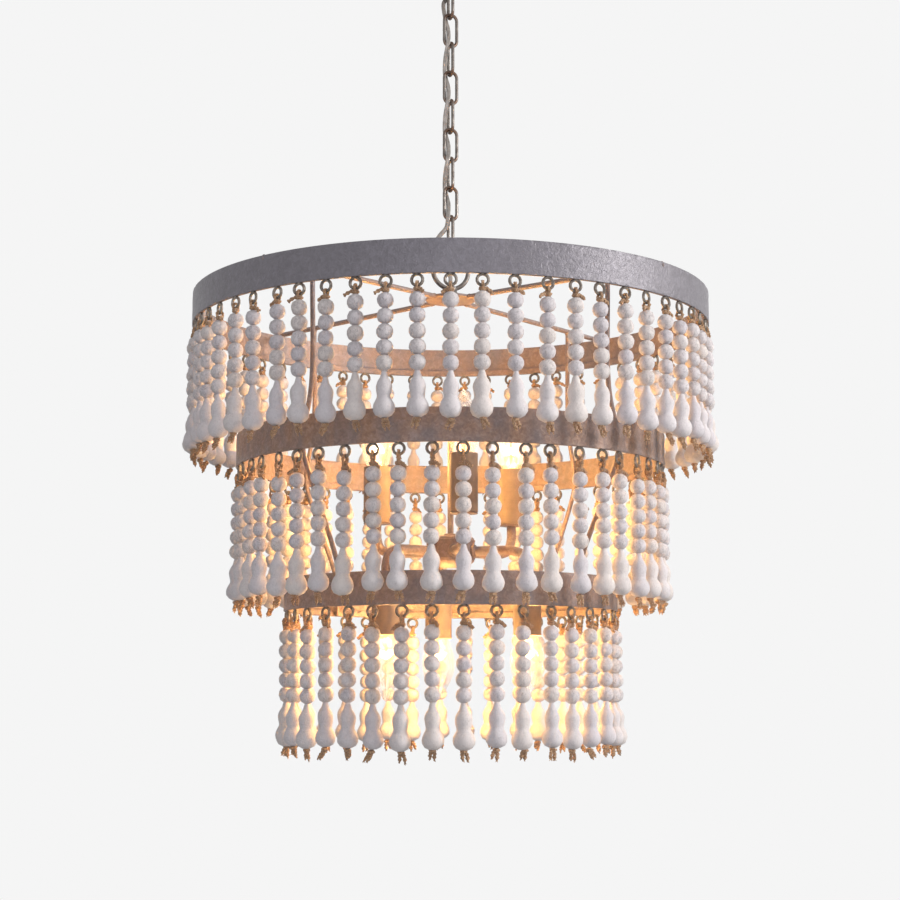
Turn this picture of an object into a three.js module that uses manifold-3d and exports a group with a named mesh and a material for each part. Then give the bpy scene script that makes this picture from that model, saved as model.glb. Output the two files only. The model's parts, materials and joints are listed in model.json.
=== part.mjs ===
// Three-tier wood bead chandelier on a chain.
// Millimetres, +Z up. The ceiling is z = 0, the chain hangs down the Z axis and the front is -Y.
import * as THREE from 'three';
import { mergeVertices, mergeGeometries } from 'three/addons/utils/BufferGeometryUtils.js';
import Module from 'manifold-3d';

const wasm = await Module();
wasm.setup();

// Clearance between pieces that touch, the overrun of every cut and the sink of every weld
const seatGap = 0.3;
const cutOverrun = 2;
const weldSink = 0.5;

// Sides and steps of the round forms
const canopySides = 20;
const collarSides = 10;
const screwSides = 6;
const wireSides = 6;
const roundSides = 5;
const cordSides = 8;
const lampSides = 8;
const clusterSides = 12;
const plainStrandSides = 3;
const eyeletWireSides = 4;
const eyeletSides = 8;
const juteLoopSides = 7;
const loopBendSteps = 6;
const linkBendSteps = 4;
const rodSteps = 10;
const lampArmSteps = 6;
const canopyCordSteps = 8;
const chainCordSteps = 44;
const hubCordSteps = 12;

// Ceiling canopy and crossbar
const crossbarLength = 92;
const crossbarWidth = 18;
const crossbarThick = 3;
const crossbarEndMargin = 9;
const boxSlotShare = 0.39;
const boxSlotLength = 12;
const boxSlotWidth = 5;
const canopyRadius = 60;
const canopyDepth = 22;
const canopyWall = 1.2;
const canopyFlatShare = 0.74;
const canopyShoulderShare = 0.92;
const screwRadius = 2;
const screwNutRadius = 6;
const screwNutHeight = 8;

// Loops that carry the chain: wire, opening and hollow collar
const collarRadius = 7.5;
const collarHeight = 10;
const wireWayRadius = 3.2;
const canopyLoopWire = 4;
const canopyLoopWidth = 22;
const canopyLoopHeight = 23;
const canopyLoopNeckRadius = 5;
const canopyNutRadius = 10;
const canopyNutHeight = 4;
const hubRingWire = 5;
const hubRingWidth = 45.5;
const hubRingHeight = 53;
const suspensionTurn = 20;

// Chain
const linkCount = 9;
const linkWire = 3.6;
const linkInnerLength = 32.9;
const linkWidth = 18;

// Power cord laced through the chain
const cordRadius = 2.1;
const cordEndGap = 0.4;
const cordLaceSide = 4.7;
const cordLaceInside = 2.6;
const cordBesideLink = 6;
const cordBypass = 11.8;
const cordPivotSide = 17;

// Cross frame: disc and arms
const hubDiscRadius = 27;
const hubDiscThick = 4;
const armRadius = 2.75;
const armCount = 4;
const armTurn = -41;
const armBelowRim = 2.3;
const armFall = 4.25;

// Hoops and the hem bar inside each
const topHoopRadius = 275;
const middleHoopInset = 48.5;
const bottomHoopInset = 51.5;
const middleHoopRadius = topHoopRadius - middleHoopInset;
const bottomHoopRadius = middleHoopRadius - bottomHoopInset;
const hoopHeight = 33;
const hoopWall = 1.2;
const hoopSegments = 36;
const tierPitch = 150;
const hemHeight = 7;
const hemThick = 3;
const hemSectors = 3;

// Tier rods
const rodRadius = 2.5;
const upperRodInset = 18.5;
const upperRodPitchRadius = middleHoopRadius - upperRodInset;

// Eyelets and strands
const eyeletOuterRadius = 6.9;
const eyeletWire = 3;
const eyeletRise = 1;
const juteRadius = 1.2;
const juteLoopRadius = 2.9;
const juteLoopWire = 2.2;
const beadRadius = 7.75;
const beadPitch = 14.75;
const beadCount = 5;
const topStrandCount = 57;
const middleStrandCount = 48;
const bottomStrandCount = 36;
const middleStrandTurn = 3;
const bottomStrandTurn = 4.2;
const topFirstBeadDrop = 24.9;
const middleFirstBeadDrop = 30.3;
const bottomFirstBeadDrop = 27.4;
const beadNeckRadius = 2.6;
const gourdLength = 43.6;
const gourdUpperRadius = 8;
const gourdWaistRadius = 6.9;
const gourdLowerRadius = 10.5;
const gourdNeckRadius = 3.25;
const gourdUpperShare = 0.31;
const gourdWaistShare = 0.58;
const gourdLowerShare = 0.81;
const gourdFootShare = 0.55;
const tailLength = 12;
const tailRadius = 1.6;
const threeSidedShare = 1.12;

// Tiers from the top down
const tiers = [
  { name: 'top', radius: topHoopRadius, strands: topStrandCount, phase: 0, firstBead: topFirstBeadDrop },
  {
    name: 'middle', radius: middleHoopRadius, strands: middleStrandCount, phase: middleStrandTurn,
    firstBead: middleFirstBeadDrop,
  },
  {
    name: 'bottom', radius: bottomHoopRadius, strands: bottomStrandCount, phase: bottomStrandTurn,
    firstBead: bottomFirstBeadDrop,
  },
];

// Stem and lamp cluster
const stemRadius = 3.2;
const stemBore = 2;
const stemLength = 250;
const clusterHeight = 36;
const clusterRadius = 26;
const clusterCollarRadius = 7;
const clusterProfileShares = [[0.42, 0], [0.84, 0.1], [1, 0.28], [1, 0.8], [0.9, 0.92]];
const lampPitchRadius = 85;
const lampArmRadius = 5;
const lampArmBend = 17;
const lampArmDrop = 19;
const lampCount = 6;
const lampTurn = 9;
const lampNeckUp = 34;
const lampNeckDown = 29;
const holderRadius = 12.2;
const holderHeight = 54;
const holderBoreRadius = 7.6;
const holderBoreDepth = 24;
const flangeThick = 2;
const flangeRadius = 14.5;
const sleeveRadius = 14.5;
const sleeveWall = 1.2;
const sleeveLength = 60;

// Bulbs
const bulbCapRadius = 7;
const bulbCapLength = 24.5;
const bulbRadius = 18;
const bulbGlassLength = 75;
const bulbThroatRadius = 9.5;

// Materials
const coat = (color, roughness, metalness) => new THREE.MeshStandardMaterial({ color, roughness, metalness });
const paintedSteel = () => coat('#8b898d', 0.75, 0.2);
const chainSteel = () => coat('#7b756f', 0.45, 0.8);
const zincSteel = () => coat('#9a9a98', 0.4, 0.8);
const clearCord = () => coat('#b4b0aa', 0.4, 0.1);
const limedWood = () => coat('#cfc9ca', 0.85, 0);
const sleeveCoat = () => coat('#a08a70', 0.6, 0.1);
const clearGlass = () => coat('#f7e6c8', 0.05, 0);

// Where an azimuth and a radius lie: 0 degrees is the front, positive turns to the right
const radians = THREE.MathUtils.degToRad;
const around = (radius, azimuth, z) => new THREE.Vector3(
  radius * Math.sin(radians(azimuth)), -radius * Math.cos(radians(azimuth)), z,
);
const flatShareOf = (segments) => Math.cos(Math.PI / segments);

// Shapes
function turned(profile, sides) {
  const points = profile.map(([radius, z]) => new THREE.Vector2(radius, z));
  return new THREE.LatheGeometry(points, sides).rotateX(Math.PI / 2);
}

function rod(points, radius, steps, sides, rounded = true) {
  const section = new THREE.Shape();
  for (let i = 0; i < sides; i += 1) {
    const angle = (2 * Math.PI * i) / sides;
    const place = [radius * Math.cos(angle), radius * Math.sin(angle)];
    if (i === 0) section.moveTo(...place);
    else section.lineTo(...place);
  }
  const path = rounded
    ? new THREE.CatmullRomCurve3(points, false, 'centripetal')
    : new THREE.LineCurve3(points[0], points[1]);
  return new THREE.ExtrudeGeometry(section, { steps, bevelEnabled: false, extrudePath: path });
}

// An oval of two half circles and two straights in the XZ plane, given by its wire's centre line.
// Each bend is a few equal steps and each straight is one.
class Racetrack extends THREE.Curve {
  constructor(width, height, bendSteps) {
    super();
    this.bend = width / 2;
    this.straight = height - width;
    this.bendSteps = bendSteps;
  }

  getPoint(t) {
    const halfSteps = this.bendSteps + 1;
    const step = (t % 1) * 2 * halfSteps;
    const side = step < halfSteps ? 1 : -1;
    const run = step < halfSteps ? step : step - halfSteps;
    if (run < 1) return new THREE.Vector3(side * this.bend, 0, side * this.straight * (run - 0.5));
    const angle = (Math.PI * (run - 1)) / this.bendSteps;
    return new THREE.Vector3(
      side * this.bend * Math.cos(angle), 0, side * (this.straight / 2 + this.bend * Math.sin(angle)),
    );
  }

  getPointAt(t) {
    return this.getPoint(t);
  }

  getTangentAt(t) {
    const nudge = 1e-3;
    return this.getPoint((t + nudge) % 1).sub(this.getPoint((t + 1 - nudge) % 1)).normalize();
  }
}

function ovalRing(outerWidth, outerHeight, wire, bendSteps, sides) {
  const path = new Racetrack(outerWidth - wire, outerHeight - wire, bendSteps);
  return new THREE.TubeGeometry(path, 2 * (bendSteps + 1), wire / 2, sides, true);
}

// Joins and cuts
function solidOf(geometry) {
  const bare = geometry.index ? geometry.toNonIndexed() : geometry.clone();
  bare.deleteAttribute('normal');
  bare.deleteAttribute('uv');
  const merged = mergeVertices(bare, 1e-4);
  return new wasm.Manifold(new wasm.Mesh({
    numProp: 3,
    vertProperties: new Float32Array(merged.attributes.position.array),
    triVerts: new Uint32Array(merged.index.array),
  }));
}

function geometryOf(solid) {
  const mesh = solid.getMesh();
  const geometry = new THREE.BufferGeometry();
  geometry.setAttribute('position', new THREE.BufferAttribute(new Float32Array(mesh.vertProperties), 3));
  geometry.setIndex(new THREE.BufferAttribute(new Uint32Array(mesh.triVerts), 1));
  geometry.computeVertexNormals();
  return geometry;
}

function joined(parts, cuts = []) {
  let solid = solidOf(parts[0]);
  for (const part of parts.slice(1)) solid = solid.add(solidOf(part));
  for (const cut of cuts) solid = solid.subtract(solidOf(cut));
  return geometryOf(solid);
}

function plug(radius, bottom, top, sides) {
  return turned([[0, bottom], [radius, bottom], [radius, top], [0, top]], sides);
}

function sleeveShape(inner, outer, bottom, top, sides) {
  return turned([[inner, bottom], [outer, bottom], [outer, top], [inner, top], [inner, bottom]], sides);
}

// Ceiling pieces
const crossbarBottom = -crossbarThick;
const screwOffset = crossbarLength / 2 - crossbarEndMargin;
const boxSlotOffset = (crossbarLength / 2) * boxSlotShare;

function boxShape(length, width, height, bottom) {
  return new THREE.BoxGeometry(length, width, height).translate(0, 0, bottom + height / 2);
}

function crossbarShape() {
  const bar = boxShape(crossbarLength, crossbarWidth, crossbarThick, crossbarBottom);
  const holes = [];
  for (const side of [-1, 1]) {
    const depth = crossbarThick + 2 * cutOverrun;
    const below = crossbarBottom - cutOverrun;
    holes.push(
      boxShape(boxSlotLength, boxSlotWidth, depth, below).translate(side * boxSlotOffset, 0, 0),
      plug(screwRadius + seatGap, below, cutOverrun, screwSides).translate(side * screwOffset, 0, 0),
    );
  }
  return joined([bar], holes);
}

const canopyPlateTop = -canopyDepth + canopyWall;

function canopyShape() {
  const flat = canopyRadius * canopyFlatShare;
  const shoulder = canopyRadius * canopyShoulderShare;
  const shoulderDrop = canopyDepth * canopyFlatShare;
  const holeRadius = canopyLoopNeckRadius + seatGap;
  const cup = turned([
    [holeRadius, -canopyDepth], [flat, -canopyDepth], [shoulder, -shoulderDrop], [canopyRadius, 0],
    [canopyRadius - canopyWall, 0], [shoulder - canopyWall, canopyWall - shoulderDrop],
    [flat - canopyWall, canopyPlateTop], [holeRadius, canopyPlateTop], [holeRadius, -canopyDepth],
  ], canopySides);
  const holes = [-1, 1].map((side) => plug(
    screwRadius + seatGap, -canopyDepth - cutOverrun, canopyPlateTop + cutOverrun, screwSides,
  ).translate(side * screwOffset, 0, 0));
  return joined([cup], holes);
}

function canopyScrewShape(side) {
  const nutTop = -canopyDepth - seatGap;
  return turned([
    [0, nutTop - screwNutHeight], [screwNutRadius / 2, nutTop - screwNutHeight],
    [screwNutRadius, nutTop - screwNutHeight / 2], [screwNutRadius, nutTop],
    [screwRadius, nutTop], [screwRadius, crossbarBottom + crossbarThick / 2],
    [0, crossbarBottom + crossbarThick / 2],
  ], screwSides).translate(side * screwOffset, 0, 0);
}

// Levels down the chain
const loopCollarTop = -canopyDepth - seatGap;
const canopyLoopTop = loopCollarTop - collarHeight / 2;
const loopCollarBottom = canopyLoopTop - canopyLoopWire;
const firstContact = canopyLoopTop - canopyLoopHeight + canopyLoopWire;
const linkPitch = linkInnerLength - seatGap;
const linkHeight = linkInnerLength + 2 * linkWire;
const contactLevel = (index) => firstContact - index * linkPitch;
const linkTop = (index) => contactLevel(index) + seatGap + linkWire;
const chainPivot = contactLevel(0) + seatGap + linkWire / 2;
const ringInnerTop = contactLevel(linkCount) + seatGap;
const ringPivot = ringInnerTop + hubRingWire / 2;
const ringBottom = ringInnerTop + hubRingWire - hubRingHeight;
const ringCollarTop = ringBottom + hubRingWire;
const ringCollarBottom = ringBottom - collarHeight * 0.8;

function canopyLoopShape() {
  const ring = ovalRing(canopyLoopWidth, canopyLoopHeight, canopyLoopWire, loopBendSteps, wireSides)
    .translate(0, 0, canopyLoopTop - canopyLoopHeight / 2);
  const collar = plug(collarRadius, loopCollarBottom, loopCollarTop, collarSides);
  const neckTop = canopyPlateTop + seatGap + canopyNutHeight + canopyWall;
  const neck = plug(canopyLoopNeckRadius, loopCollarTop - weldSink, neckTop, collarSides);
  const nut = plug(canopyNutRadius, canopyPlateTop + seatGap, canopyPlateTop + seatGap + canopyNutHeight, screwSides);
  const wireWay = plug(wireWayRadius, loopCollarBottom - cutOverrun, neckTop + cutOverrun, wireSides);
  return joined([ring, collar, neck, nut], [wireWay]);
}

function hubRingShape() {
  const ring = ovalRing(hubRingWidth, hubRingHeight, hubRingWire, loopBendSteps, wireSides)
    .translate(0, 0, ringBottom + hubRingHeight / 2);
  const collar = plug(collarRadius, ringCollarBottom, ringCollarTop, collarSides);
  const wireWay = plug(wireWayRadius, ringCollarBottom - cutOverrun, ringCollarTop + cutOverrun, wireSides);
  return joined([ring, collar], [wireWay]);
}

function chainLinkShape(index) {
  const link = ovalRing(linkWidth, linkHeight, linkWire, linkBendSteps, roundSides);
  if (index % 2 === 1) link.rotateZ(Math.PI / 2);
  return link.translate(0, 0, linkTop(index - 1) - linkHeight / 2);
}

// The cord leaves the canopy loop's hollow neck, passes the first link and crosses the pivot beside it
const cordAt = (x, y, z) => new THREE.Vector3(x, y, z);

function canopyCordRoute() {
  const mouth = canopyLoopTop - canopyLoopWire;
  return [
    cordAt(0, 0, canopyPlateTop + canopyNutHeight),
    cordAt(0, 0, mouth),
    cordAt(0, cordBypass * 0.35, mouth - linkWire),
    cordAt(0, cordBypass * 0.85, chainPivot + linkWire * 1.4),
    cordAt(0, cordBypass, chainPivot + linkWire / 2),
    cordAt(0, cordBypass, chainPivot + cordEndGap),
  ];
}

// Down the chain it passes beside each odd link and through each even one
function chainCordRoute() {
  const last = linkCount - 1;
  const route = [
    cordAt(0, cordBypass, chainPivot - cordEndGap),
    cordAt(0, cordBypass, chainPivot - linkWidth / 2),
    cordAt(-cordLaceSide, cordBypass * 0.8, chainPivot - linkPitch / 2),
  ];
  for (let k = 1; k <= last; k += 1) {
    const side = k % 2 === 1 ? 1 : -1;
    route.push(cordAt(-cordLaceSide, side * cordLaceSide, contactLevel(k)));
    const aside = k % 2 === 1 ? cordLaceInside : cordBesideLink;
    if (k < last) route.push(cordAt(-aside, 0, contactLevel(k) - linkPitch / 2));
  }
  route.push(
    cordAt(-cordLaceSide * 1.2, -cordLaceSide * 0.7, contactLevel(last) - linkPitch / 3),
    cordAt(-cordPivotSide * 0.75, 0, ringPivot + linkWidth / 2),
    cordAt(-cordPivotSide, 0, ringPivot + linkWire / 2),
    cordAt(-cordPivotSide, 0, ringPivot + cordEndGap),
  );
  return route;
}

// Below the pivot it passes behind the hub ring's wire and down into its collar
function hubCordRoute() {
  const ringHalf = hubRingWidth / 2;
  return [
    cordAt(-cordPivotSide, 0, ringPivot - cordEndGap),
    cordAt(-cordPivotSide, 0, ringPivot - cordRadius),
    cordAt(-cordPivotSide, hubRingWire * 0.6, ringPivot - hubRingWire * 0.9),
    cordAt(-cordPivotSide, hubRingWire * 1.15, ringPivot - hubRingWire * 1.4),
    cordAt(-cordPivotSide * 0.92, hubRingWire * 1.2, ringPivot - ringHalf * 0.4),
    cordAt(-cordPivotSide * 0.65, hubRingWire, ringPivot - ringHalf * 0.7),
    cordAt(-cordPivotSide * 0.3, hubRingWire * 0.6, ringPivot - ringHalf * 1.1),
    cordAt(0, 0, ringCollarTop + collarHeight),
    cordAt(0, 0, ringCollarTop + hubRingWire),
    cordAt(0, 0, ringCollarBottom + seatGap),
  ];
}

// Cross frame
const discTop = ringCollarBottom - seatGap;
const discBottom = discTop - hubDiscThick;
const armHubLevel = (discTop + discBottom) / 2;
const armLevel = armHubLevel - armFall;
const armReach = (tier) => hoopInner(tier) * flatShareOf(hoopSegments) - seatGap;
const armLevelAt = (radius) => armHubLevel - (armFall * radius) / armReach(0);
const hoopTop = (tier) => armLevel + armBelowRim - tier * tierPitch;
const hoopBottom = (tier) => hoopTop(tier) - hoopHeight;
const hoopInner = (tier) => tiers[tier].radius - hoopWall;
const hemOuter = (tier) => hoopInner(tier) - seatGap / flatShareOf(hoopSegments);
const hemInner = (tier) => hemOuter(tier) - hemThick;

function crossFrameShape() {
  const disc = plug(hubDiscRadius, discBottom, discTop, canopySides);
  const arms = [];
  for (let i = 0; i < armCount; i += 1) {
    const azimuth = armTurn + (360 * i) / armCount;
    arms.push(rod([
      around(hubDiscRadius / 2, azimuth, armLevelAt(hubDiscRadius / 2)),
      around(armReach(0), azimuth, armLevel),
    ], armRadius, 1, wireSides, false));
  }
  const wireWay = plug(stemBore, discBottom - cutOverrun, discTop + cutOverrun, wireSides);
  return joined([disc, ...arms], [wireWay]);
}

// Hoops and hem bars
function hoopShape(tier) {
  return sleeveShape(hoopInner(tier), tiers[tier].radius, hoopBottom(tier), hoopTop(tier), hoopSegments)
    .rotateZ(radians(tiers[tier].phase));
}

// A hem bar ends half way between two strands and follows the hoop's flats
function hemShape(tier, sector) {
  const perSector = tiers[tier].strands / hemSectors;
  const stepsPerStrand = hoopSegments / tiers[tier].strands;
  const start = -(Math.floor(perSector / 2) + 0.5) * stepsPerStrand;
  const end = start + hoopSegments / hemSectors;
  const endStep = seatGap / hemInner(tier);
  const places = [start + endStep];
  for (let step = Math.ceil(start + endStep * 2); step < end - endStep * 2; step += 1) places.push(step);
  places.push(end - endStep);
  const onFlat = (radius, step) => {
    const from = Math.floor(step);
    const [a, b] = [from, from + 1].map((corner) => (2 * Math.PI * corner) / hoopSegments - Math.PI / 2);
    const share = step - from;
    return [
      radius * ((1 - share) * Math.cos(a) + share * Math.cos(b)),
      radius * ((1 - share) * Math.sin(a) + share * Math.sin(b)),
    ];
  };
  const outline = new THREE.Shape();
  outline.moveTo(...onFlat(hemInner(tier), places[0]));
  for (const step of places) outline.lineTo(...onFlat(hemOuter(tier), step));
  for (const step of [...places].reverse()) {
    if (step !== places[0]) outline.lineTo(...onFlat(hemInner(tier), step));
  }
  const bar = new THREE.ExtrudeGeometry(outline, { depth: hemHeight, bevelEnabled: false });
  return bar.translate(0, 0, hoopBottom(tier)).rotateZ(radians(tiers[tier].phase + (360 * sector) / hemSectors));
}

// Strands: five round beads and a gourd on a jute cord, drawn from the hoop's bottom edge down
const juteBelowBead = beadPitch / 2;

// The middle of a hem bar's flat at an azimuth
function strandRadius(tier, azimuth) {
  const flat = 360 / hoopSegments;
  const turns = (azimuth - tiers[tier].phase) / flat;
  const offMiddle = (turns - Math.floor(turns) - 0.5) * flat;
  return (hemOuter(tier) - hemThick / 2) * flatShareOf(hoopSegments) / Math.cos(radians(offMiddle));
}

const eyeletCentre = (tier) => hoopBottom(tier) + eyeletRise - eyeletOuterRadius;
const strandPivot = (tier) => eyeletCentre(tier) - eyeletOuterRadius + eyeletWire / 2;

function beadProfile(tier, detailed) {
  const firstBead = hoopBottom(tier) - tiers[tier].firstBead;
  const fat = detailed ? 1 : threeSidedShare;
  const profile = [[juteRadius, firstBead + juteBelowBead]];
  for (let i = 0; i < beadCount; i += 1) {
    const centre = firstBead - i * beadPitch;
    if (i > 0) profile.push([beadNeckRadius, centre + beadPitch / 2]);
    profile.push([beadRadius * fat, centre]);
  }
  const gourdTop = firstBead - (beadCount - 0.5) * beadPitch;
  profile.push(
    [gourdNeckRadius, gourdTop],
    [gourdUpperRadius * fat, gourdTop - gourdLength * gourdUpperShare],
  );
  if (detailed) profile.push([gourdWaistRadius, gourdTop - gourdLength * gourdWaistShare]);
  profile.push([gourdLowerRadius * fat, gourdTop - gourdLength * gourdLowerShare]);
  if (detailed) {
    profile.push(
      [gourdLowerRadius * gourdFootShare, gourdTop - gourdLength],
      [tailRadius, gourdTop - gourdLength],
      [tailRadius, gourdTop - gourdLength - tailLength],
      [0, gourdTop - gourdLength - tailLength],
    );
  } else {
    profile.push([0, gourdTop - gourdLength - tailLength]);
  }
  return profile;
}

function plainStrand(tier, azimuth) {
  const top = hoopBottom(tier) + hemThick;
  const profile = [[0, top], [juteRadius, top], ...beadProfile(tier, false)];
  const place = around(strandRadius(tier, azimuth), azimuth, 0);
  return turned(profile.reverse(), plainStrandSides).rotateZ(radians(azimuth)).translate(place.x, place.y, 0);
}

function eyeletAt(tier, azimuth) {
  const place = around(strandRadius(tier, azimuth), azimuth, eyeletCentre(tier));
  return new THREE.TorusGeometry(eyeletOuterRadius - eyeletWire / 2, eyeletWire / 2, eyeletWireSides, eyeletSides)
    .rotateX(Math.PI / 2).rotateZ(radians(azimuth)).translate(place.x, place.y, place.z);
}

function strandAzimuth(tier, index) {
  return tiers[tier].phase + (360 * index) / tiers[tier].strands;
}

// One hem bar with its eyelet in the middle and the strands either side of that
function beadedHemShape(tier, sector) {
  const perSector = tiers[tier].strands / hemSectors;
  const first = -Math.floor(perSector / 2);
  let solid = solidOf(hemShape(tier, sector));
  for (let i = first; i < first + perSector; i += 1) {
    const azimuth = strandAzimuth(tier, i + sector * perSector);
    solid = solid.add(solidOf(i === 0 ? eyeletAt(tier, azimuth) : plainStrand(tier, azimuth)));
  }
  return geometryOf(solid);
}

// The swinging strand in the middle of each hem bar, with its jute loop through the eyelet
function swingingStrandShape(tier, sector) {
  const perSector = tiers[tier].strands / hemSectors;
  const azimuth = strandAzimuth(tier, sector * perSector);
  const loopBottom = strandPivot(tier) - juteLoopRadius;
  const loop = new THREE.TorusGeometry(juteLoopRadius, juteLoopWire / 2, eyeletWireSides, juteLoopSides)
    .rotateX(Math.PI / 2).rotateZ(Math.PI / 2).translate(0, 0, strandPivot(tier));
  const profile = [[0, loopBottom], [juteRadius, loopBottom], ...beadProfile(tier, true)];
  const place = around(strandRadius(tier, azimuth), azimuth, 0);
  const strand = joined([loop, turned(profile.reverse(), roundSides)]);
  return strand.rotateZ(radians(azimuth)).translate(place.x, place.y, 0);
}

// One bent rod at each arm: down to the middle hoop's hem bar, then in to the bottom hoop's
function tierRodShape(index) {
  const azimuth = armTurn + (360 * index) / armCount;
  const inside = (tier) => hemInner(tier) * flatShareOf(hoopSegments) - seatGap - rodRadius;
  const top = armLevelAt(upperRodPitchRadius) - armRadius - seatGap;
  return rod([
    around(upperRodPitchRadius, azimuth, top),
    around(upperRodPitchRadius, azimuth, hoopTop(1) + hoopHeight),
    around(inside(1), azimuth, hoopTop(1) - hoopHeight / 2),
    around(inside(1), azimuth, hoopBottom(1)),
    around(inside(2), azimuth, hoopTop(2)),
    around(inside(2), azimuth, hoopBottom(2)),
  ], rodRadius, rodSteps, roundSides);
}

// Stem and cluster
const stemTop = discBottom - seatGap;
const stemBottom = stemTop - stemLength;
const clusterTop = stemBottom - seatGap;
const clusterBottom = clusterTop - clusterHeight;
const lampLevel = clusterTop - lampArmDrop;

function stemShape() {
  return sleeveShape(stemBore, stemRadius, stemBottom, stemTop, collarSides);
}

function holderShape() {
  const bottom = 0;
  const mouth = bottom + holderHeight;
  return turned([
    [0, bottom], [flangeRadius, bottom], [flangeRadius, flangeThick], [holderRadius, flangeThick],
    [holderRadius, mouth], [holderBoreRadius, mouth], [holderBoreRadius, mouth - holderBoreDepth],
    [0, mouth - holderBoreDepth],
  ], lampSides);
}

const lampIsUp = (index) => index % 2 === 0;
const lampAzimuth = (index) => lampTurn + (360 * index) / lampCount;
const holderLevel = (index) => (lampIsUp(index)
  ? lampLevel + lampNeckUp - flangeThick - seatGap
  : lampLevel - lampNeckDown + flangeThick + seatGap);

// A lamp piece drawn upright from its flange, set at its arm's end, turned over where the lamp hangs
function placedLamp(geometry, index) {
  const place = around(lampPitchRadius, lampAzimuth(index), holderLevel(index));
  if (!lampIsUp(index)) geometry.rotateX(Math.PI);
  return geometry.translate(place.x, place.y, place.z);
}

function lampArmShape(index) {
  const azimuth = lampAzimuth(index);
  const turn = lampIsUp(index) ? 1 : -1;
  return rod([
    around(clusterRadius / 2, azimuth, lampLevel),
    around(lampPitchRadius - lampArmBend * 1.6, azimuth, lampLevel),
    around(lampPitchRadius - lampArmBend, azimuth, lampLevel),
    around(lampPitchRadius - lampArmBend * 0.29, azimuth, lampLevel + turn * lampArmBend * 0.29),
    around(lampPitchRadius, azimuth, lampLevel + turn * lampArmBend),
    around(lampPitchRadius, azimuth, holderLevel(index) + turn * weldSink),
  ], lampArmRadius, lampArmSteps, roundSides);
}

function clusterShape() {
  const body = turned([
    [0, clusterBottom],
    ...clusterProfileShares.map(([across, up]) => [clusterRadius * across, clusterBottom + clusterHeight * up]),
    [clusterCollarRadius, clusterBottom + clusterHeight * clusterProfileShares.at(-1)[1]],
    [clusterCollarRadius, clusterTop], [0, clusterTop],
  ], clusterSides);
  const parts = [body];
  for (let i = 0; i < lampCount; i += 1) {
    parts.push(lampArmShape(i), placedLamp(holderShape(), i));
  }
  return joined(parts);
}

function candleSleeveShape(index) {
  const bottom = flangeThick + seatGap;
  const tube = sleeveShape(sleeveRadius - sleeveWall, sleeveRadius, bottom, bottom + sleeveLength, lampSides);
  return placedLamp(tube, index);
}

function bulbShape(index) {
  const seat = holderHeight - holderBoreDepth + seatGap;
  const glass = seat + bulbCapLength;
  const bulb = turned([
    [0, seat], [bulbCapRadius * 0.6, seat], [bulbCapRadius, seat + bulbCapLength * 0.2],
    [bulbCapRadius, glass], [bulbThroatRadius, glass + bulbGlassLength * 0.08],
    [bulbRadius * 0.94, glass + bulbGlassLength * 0.36], [bulbRadius, glass + bulbGlassLength * 0.46],
    [bulbRadius * 0.8, glass + bulbGlassLength * 0.66], [bulbRadius * 0.36, glass + bulbGlassLength * 0.86],
    [0, glass + bulbGlassLength],
  ], lampSides);
  return placedLamp(bulb, index);
}

// Assembly
const chandelier = new THREE.Group();
const suspension = new THREE.Group();
suspension.rotation.z = radians(suspensionTurn);
chandelier.add(suspension);

function addPiece(group, name, geometry, material) {
  const mesh = new THREE.Mesh(geometry, material);
  mesh.name = name;
  group.add(mesh);
}

addPiece(chandelier, 'ceiling_crossbar', crossbarShape(), zincSteel());
addPiece(chandelier, 'ceiling_canopy', canopyShape(), paintedSteel());
addPiece(chandelier, 'canopy_screw_left', canopyScrewShape(-1), zincSteel());
addPiece(chandelier, 'canopy_screw_right', canopyScrewShape(1), zincSteel());
addPiece(suspension, 'canopy_loop', canopyLoopShape(), chainSteel());
for (let i = 1; i <= linkCount; i += 1) {
  addPiece(suspension, `chain_link_${i}`, chainLinkShape(i), chainSteel());
}
addPiece(suspension, 'cord_canopy', rod(canopyCordRoute(), cordRadius, canopyCordSteps, cordSides), clearCord());
addPiece(suspension, 'cord_chain', rod(chainCordRoute(), cordRadius, chainCordSteps, cordSides), clearCord());
addPiece(suspension, 'cord_hub', rod(hubCordRoute(), cordRadius, hubCordSteps, cordSides), clearCord());
addPiece(suspension, 'hub_ring', hubRingShape(), chainSteel());
addPiece(chandelier, 'cross_frame', crossFrameShape(), paintedSteel());
tiers.forEach((tier, level) => {
  addPiece(chandelier, `hoop_${tier.name}`, hoopShape(level), paintedSteel());
  for (let sector = 0; sector < hemSectors; sector += 1) {
    addPiece(chandelier, `beaded_hem_${tier.name}_${sector + 1}`, beadedHemShape(level, sector), limedWood());
    addPiece(chandelier, `strand_${tier.name}_${sector + 1}`, swingingStrandShape(level, sector), limedWood());
  }
});
for (let i = 0; i < armCount; i += 1) {
  addPiece(chandelier, `tier_rod_${i + 1}`, tierRodShape(i), paintedSteel());
}
addPiece(chandelier, 'stem_tube', stemShape(), paintedSteel());
addPiece(chandelier, 'lamp_cluster', clusterShape(), paintedSteel());
for (let i = 0; i < lampCount; i += 1) {
  addPiece(chandelier, `candle_sleeve_${i + 1}`, candleSleeveShape(i), sleeveCoat());
  addPiece(chandelier, `bulb_${i + 1}`, bulbShape(i), clearGlass());
}

export default chandelier;
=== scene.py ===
import json
import math
import random

import bmesh
import bpy
from mathutils import Matrix, Vector, noise

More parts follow.
